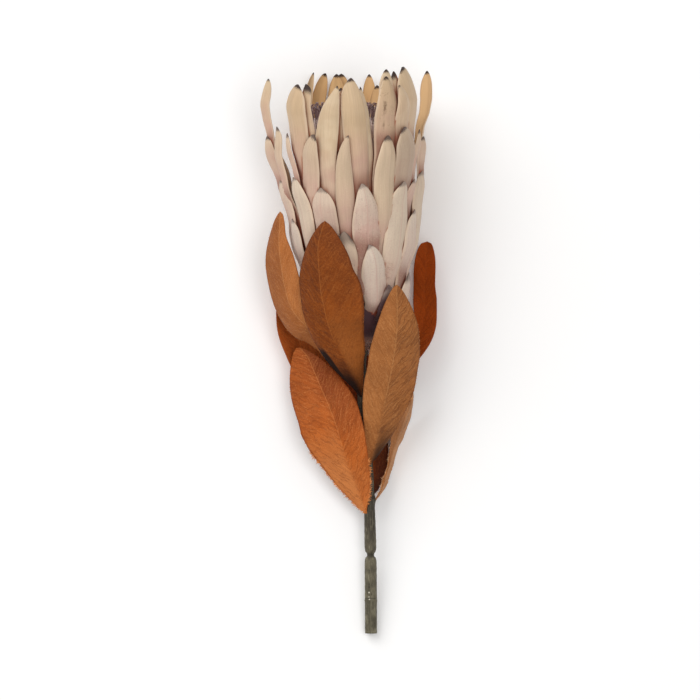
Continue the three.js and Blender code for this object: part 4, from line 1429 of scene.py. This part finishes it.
def stemShape():
    form = stemForm
    top = growth["headBase"] - growth["clearance"]
    h, t = roundGrid(np.linspace(0, top, int(top / form["step"])), form["sides"])
    flutes = form["flute"] * np.sin(t * form["flutes"] + form["fluteTwist"] * h)
    flutes = flutes * ease(h / form["fluteReach"])
    bark = form["bark"] * np.sin(h * form["barkBends"] + form["barkSway"] * np.sin(t * 2))
    bark = bark * np.sin(t * form["barkSides"] + h * form["barkTwist"])
    radius = curveAt(stemOutline, h) + flutes + bark
    # a swelling where each leaf leaves the stem
    for leaf in leaves:
        off = np.abs((t - math.radians(leaf["turn"]) + math.pi) % (2 * math.pi) - math.pi)
        height = (h - leaf["height"]) / form["scarLength"]
        radius = radius + form["scarRise"] * np.exp(-((off / form["scarTurn"]) ** 2) - height**2)
    points = pressed(pointAt(h, radius, t), 0).reshape(-1, 3)
    # the last value is how far across the stem from its upper middle, in mm; the under side is far away
    acrossUpper = np.where(np.cos(t) > 0, form["span"] * np.sin(t), form["underSide"])
    return marked(points, roundFaces(*h.shape), tone=markOf(h.shape, t * form["span"], h, acrossUpper))


def stemMaterial():
    shade = stemLooks
    material, tree, skin = newMaterial("stemBark", 0.6)
    place = attribute(tree, "tone")
    run = splitUp(tree, place)
    grain = useGroup(tree, fibreGrain, Place=place, Spacing=0.7, Length=9.0, Waver=1.0)
    patch = useGroup(tree, patches, Place=place, Size=9.0)
    neck, seam = (sizeOf(tree, minus(tree, run[1], stemForm[name])) for name in ("neck", "seam"))
    base = layered(
        tree,
        shade["bark"],
        (ramp(tree, run[1], 66.0, 96.0, 0.0, 0.85), shade["upper"]),
        (ramp(tree, grain["Lines"], 0.5, 0.68, 0.0, 0.55), shade["pale"]),
        (times(tree, patch["Patch"], 0.6), shade["dark"]),
        (times(tree, patch["Freckle"], 0.5), shade["dark"]),
        (ramp(tree, neck, 3.0, 0.5, 0.0, 0.75), shade["dark"]),
        (ramp(tree, seam, 1.0, 0.1, 0.0, 0.6), shade["dark"]),
    )
    rough = times(tree, patch["Pore"], 0.8)
    for acrossAt, heightAt, size, tint in stemForm["marks"]:
        far = distance(tree, minus(tree, run[2], acrossAt), minus(tree, run[1], heightAt))
        base = blend(tree, ramp(tree, plus(tree, far, rough), size + 0.9, size), base, shade[tint])
    dress(tree, skin, base, plus(tree, grain["Lines"], times(tree, patch["Pore"], 0.6)), 0.0004, 0.8)
    roughen(tree, skin, patch["Pore"], 0.45, 0.7)
    return material


addPiece("stemBark", stemShape(), stemMaterial(), "stem", "stem")

# Stage: a plain pale floor, soft studio light, and the camera looking down as the photograph looks across

stage = {
    "floorSize": 14,
    "floorDrop": 0.0004,
    "floorColours": ("#fcfbfa", "#faf9f8"),
    "worldStrength": 0.47,
    "lights": [
        {"name": "keyLight", "place": (-1.5, 1.2, 2.1), "size": 2.4, "power": 44},
        {"name": "fillLight", "place": (0.7, -0.5, 2.7), "size": 1.6, "power": 27},
    ],
    "lens": 200,
    "sensor": 36,
    "farthest": 50,
    "distance": 3433,
    "target": [-18.55, 250, 0],
}


def addObject(name, data):
    made = bpy.data.objects.new(name, data)
    bpy.context.collection.objects.link(made)
    return made


def addFloor():
    half = stage["floorSize"] / 2
    mesh = bpy.data.meshes.new("floor")
    corners = [(-half, -half, 0), (half, -half, 0), (half, half, 0), (-half, half, 0)]
    mesh.from_pydata(corners, [], [[0, 1, 2, 3]])
    material, tree, skin = newMaterial("floorPaper", 0.9)
    patch = addNode(tree, "ShaderNodeTexNoise", Scale=3.0, Detail=2.0).outputs[0]
    tint = blend(tree, ramp(tree, patch, 0.2, 0.8), *(colour(text) for text in stage["floorColours"]))
    tree.links.new(tint, skin.inputs["Base Color"])
    mesh.materials.append(material)
    floor = addObject("floor", mesh)
    floor.location.z = -stage["floorDrop"]


def addLight(light):
    data = bpy.data.lights.new(light["name"], "AREA")
    data.size = light["size"]
    data.energy = light["power"]
    lamp = addObject(light["name"], data)
    lamp.location = light["place"]
    lamp.rotation_euler = (-Vector(light["place"])).to_track_quat("-Z", "Y").to_euler()


def addCamera():
    target = Vector((laidDown(np.array(stage["target"], float)) + frameShift).tolist())
    upward = Vector((0, -math.sin(growth["layTilt"]), math.cos(growth["layTilt"])))
    data = bpy.data.cameras.new("photoCamera")
    data.lens = stage["lens"]
    data.sensor_width = stage["sensor"]
    data.clip_end = stage["farthest"]
    camera = addObject("photoCamera", data)
    camera.location = target + upward * (stage["distance"] / 1000)
    camera.rotation_euler = upward.to_track_quat("Z", "Y").to_euler()
    bpy.context.scene.camera = camera


addFloor()
for light in stage["lights"]:
    addLight(light)
addCamera()
world = bpy.data.worlds.new("studio")
world.use_nodes = True
background = world.node_tree.nodes["Background"]
setInputs(world.node_tree, background, {"Color": (1, 1, 1, 1), "Strength": stage["worldStrength"]})
bpy.context.scene.world = world
bpy.context.scene.view_settings.view_transform = "Standard"
print("stage ready")
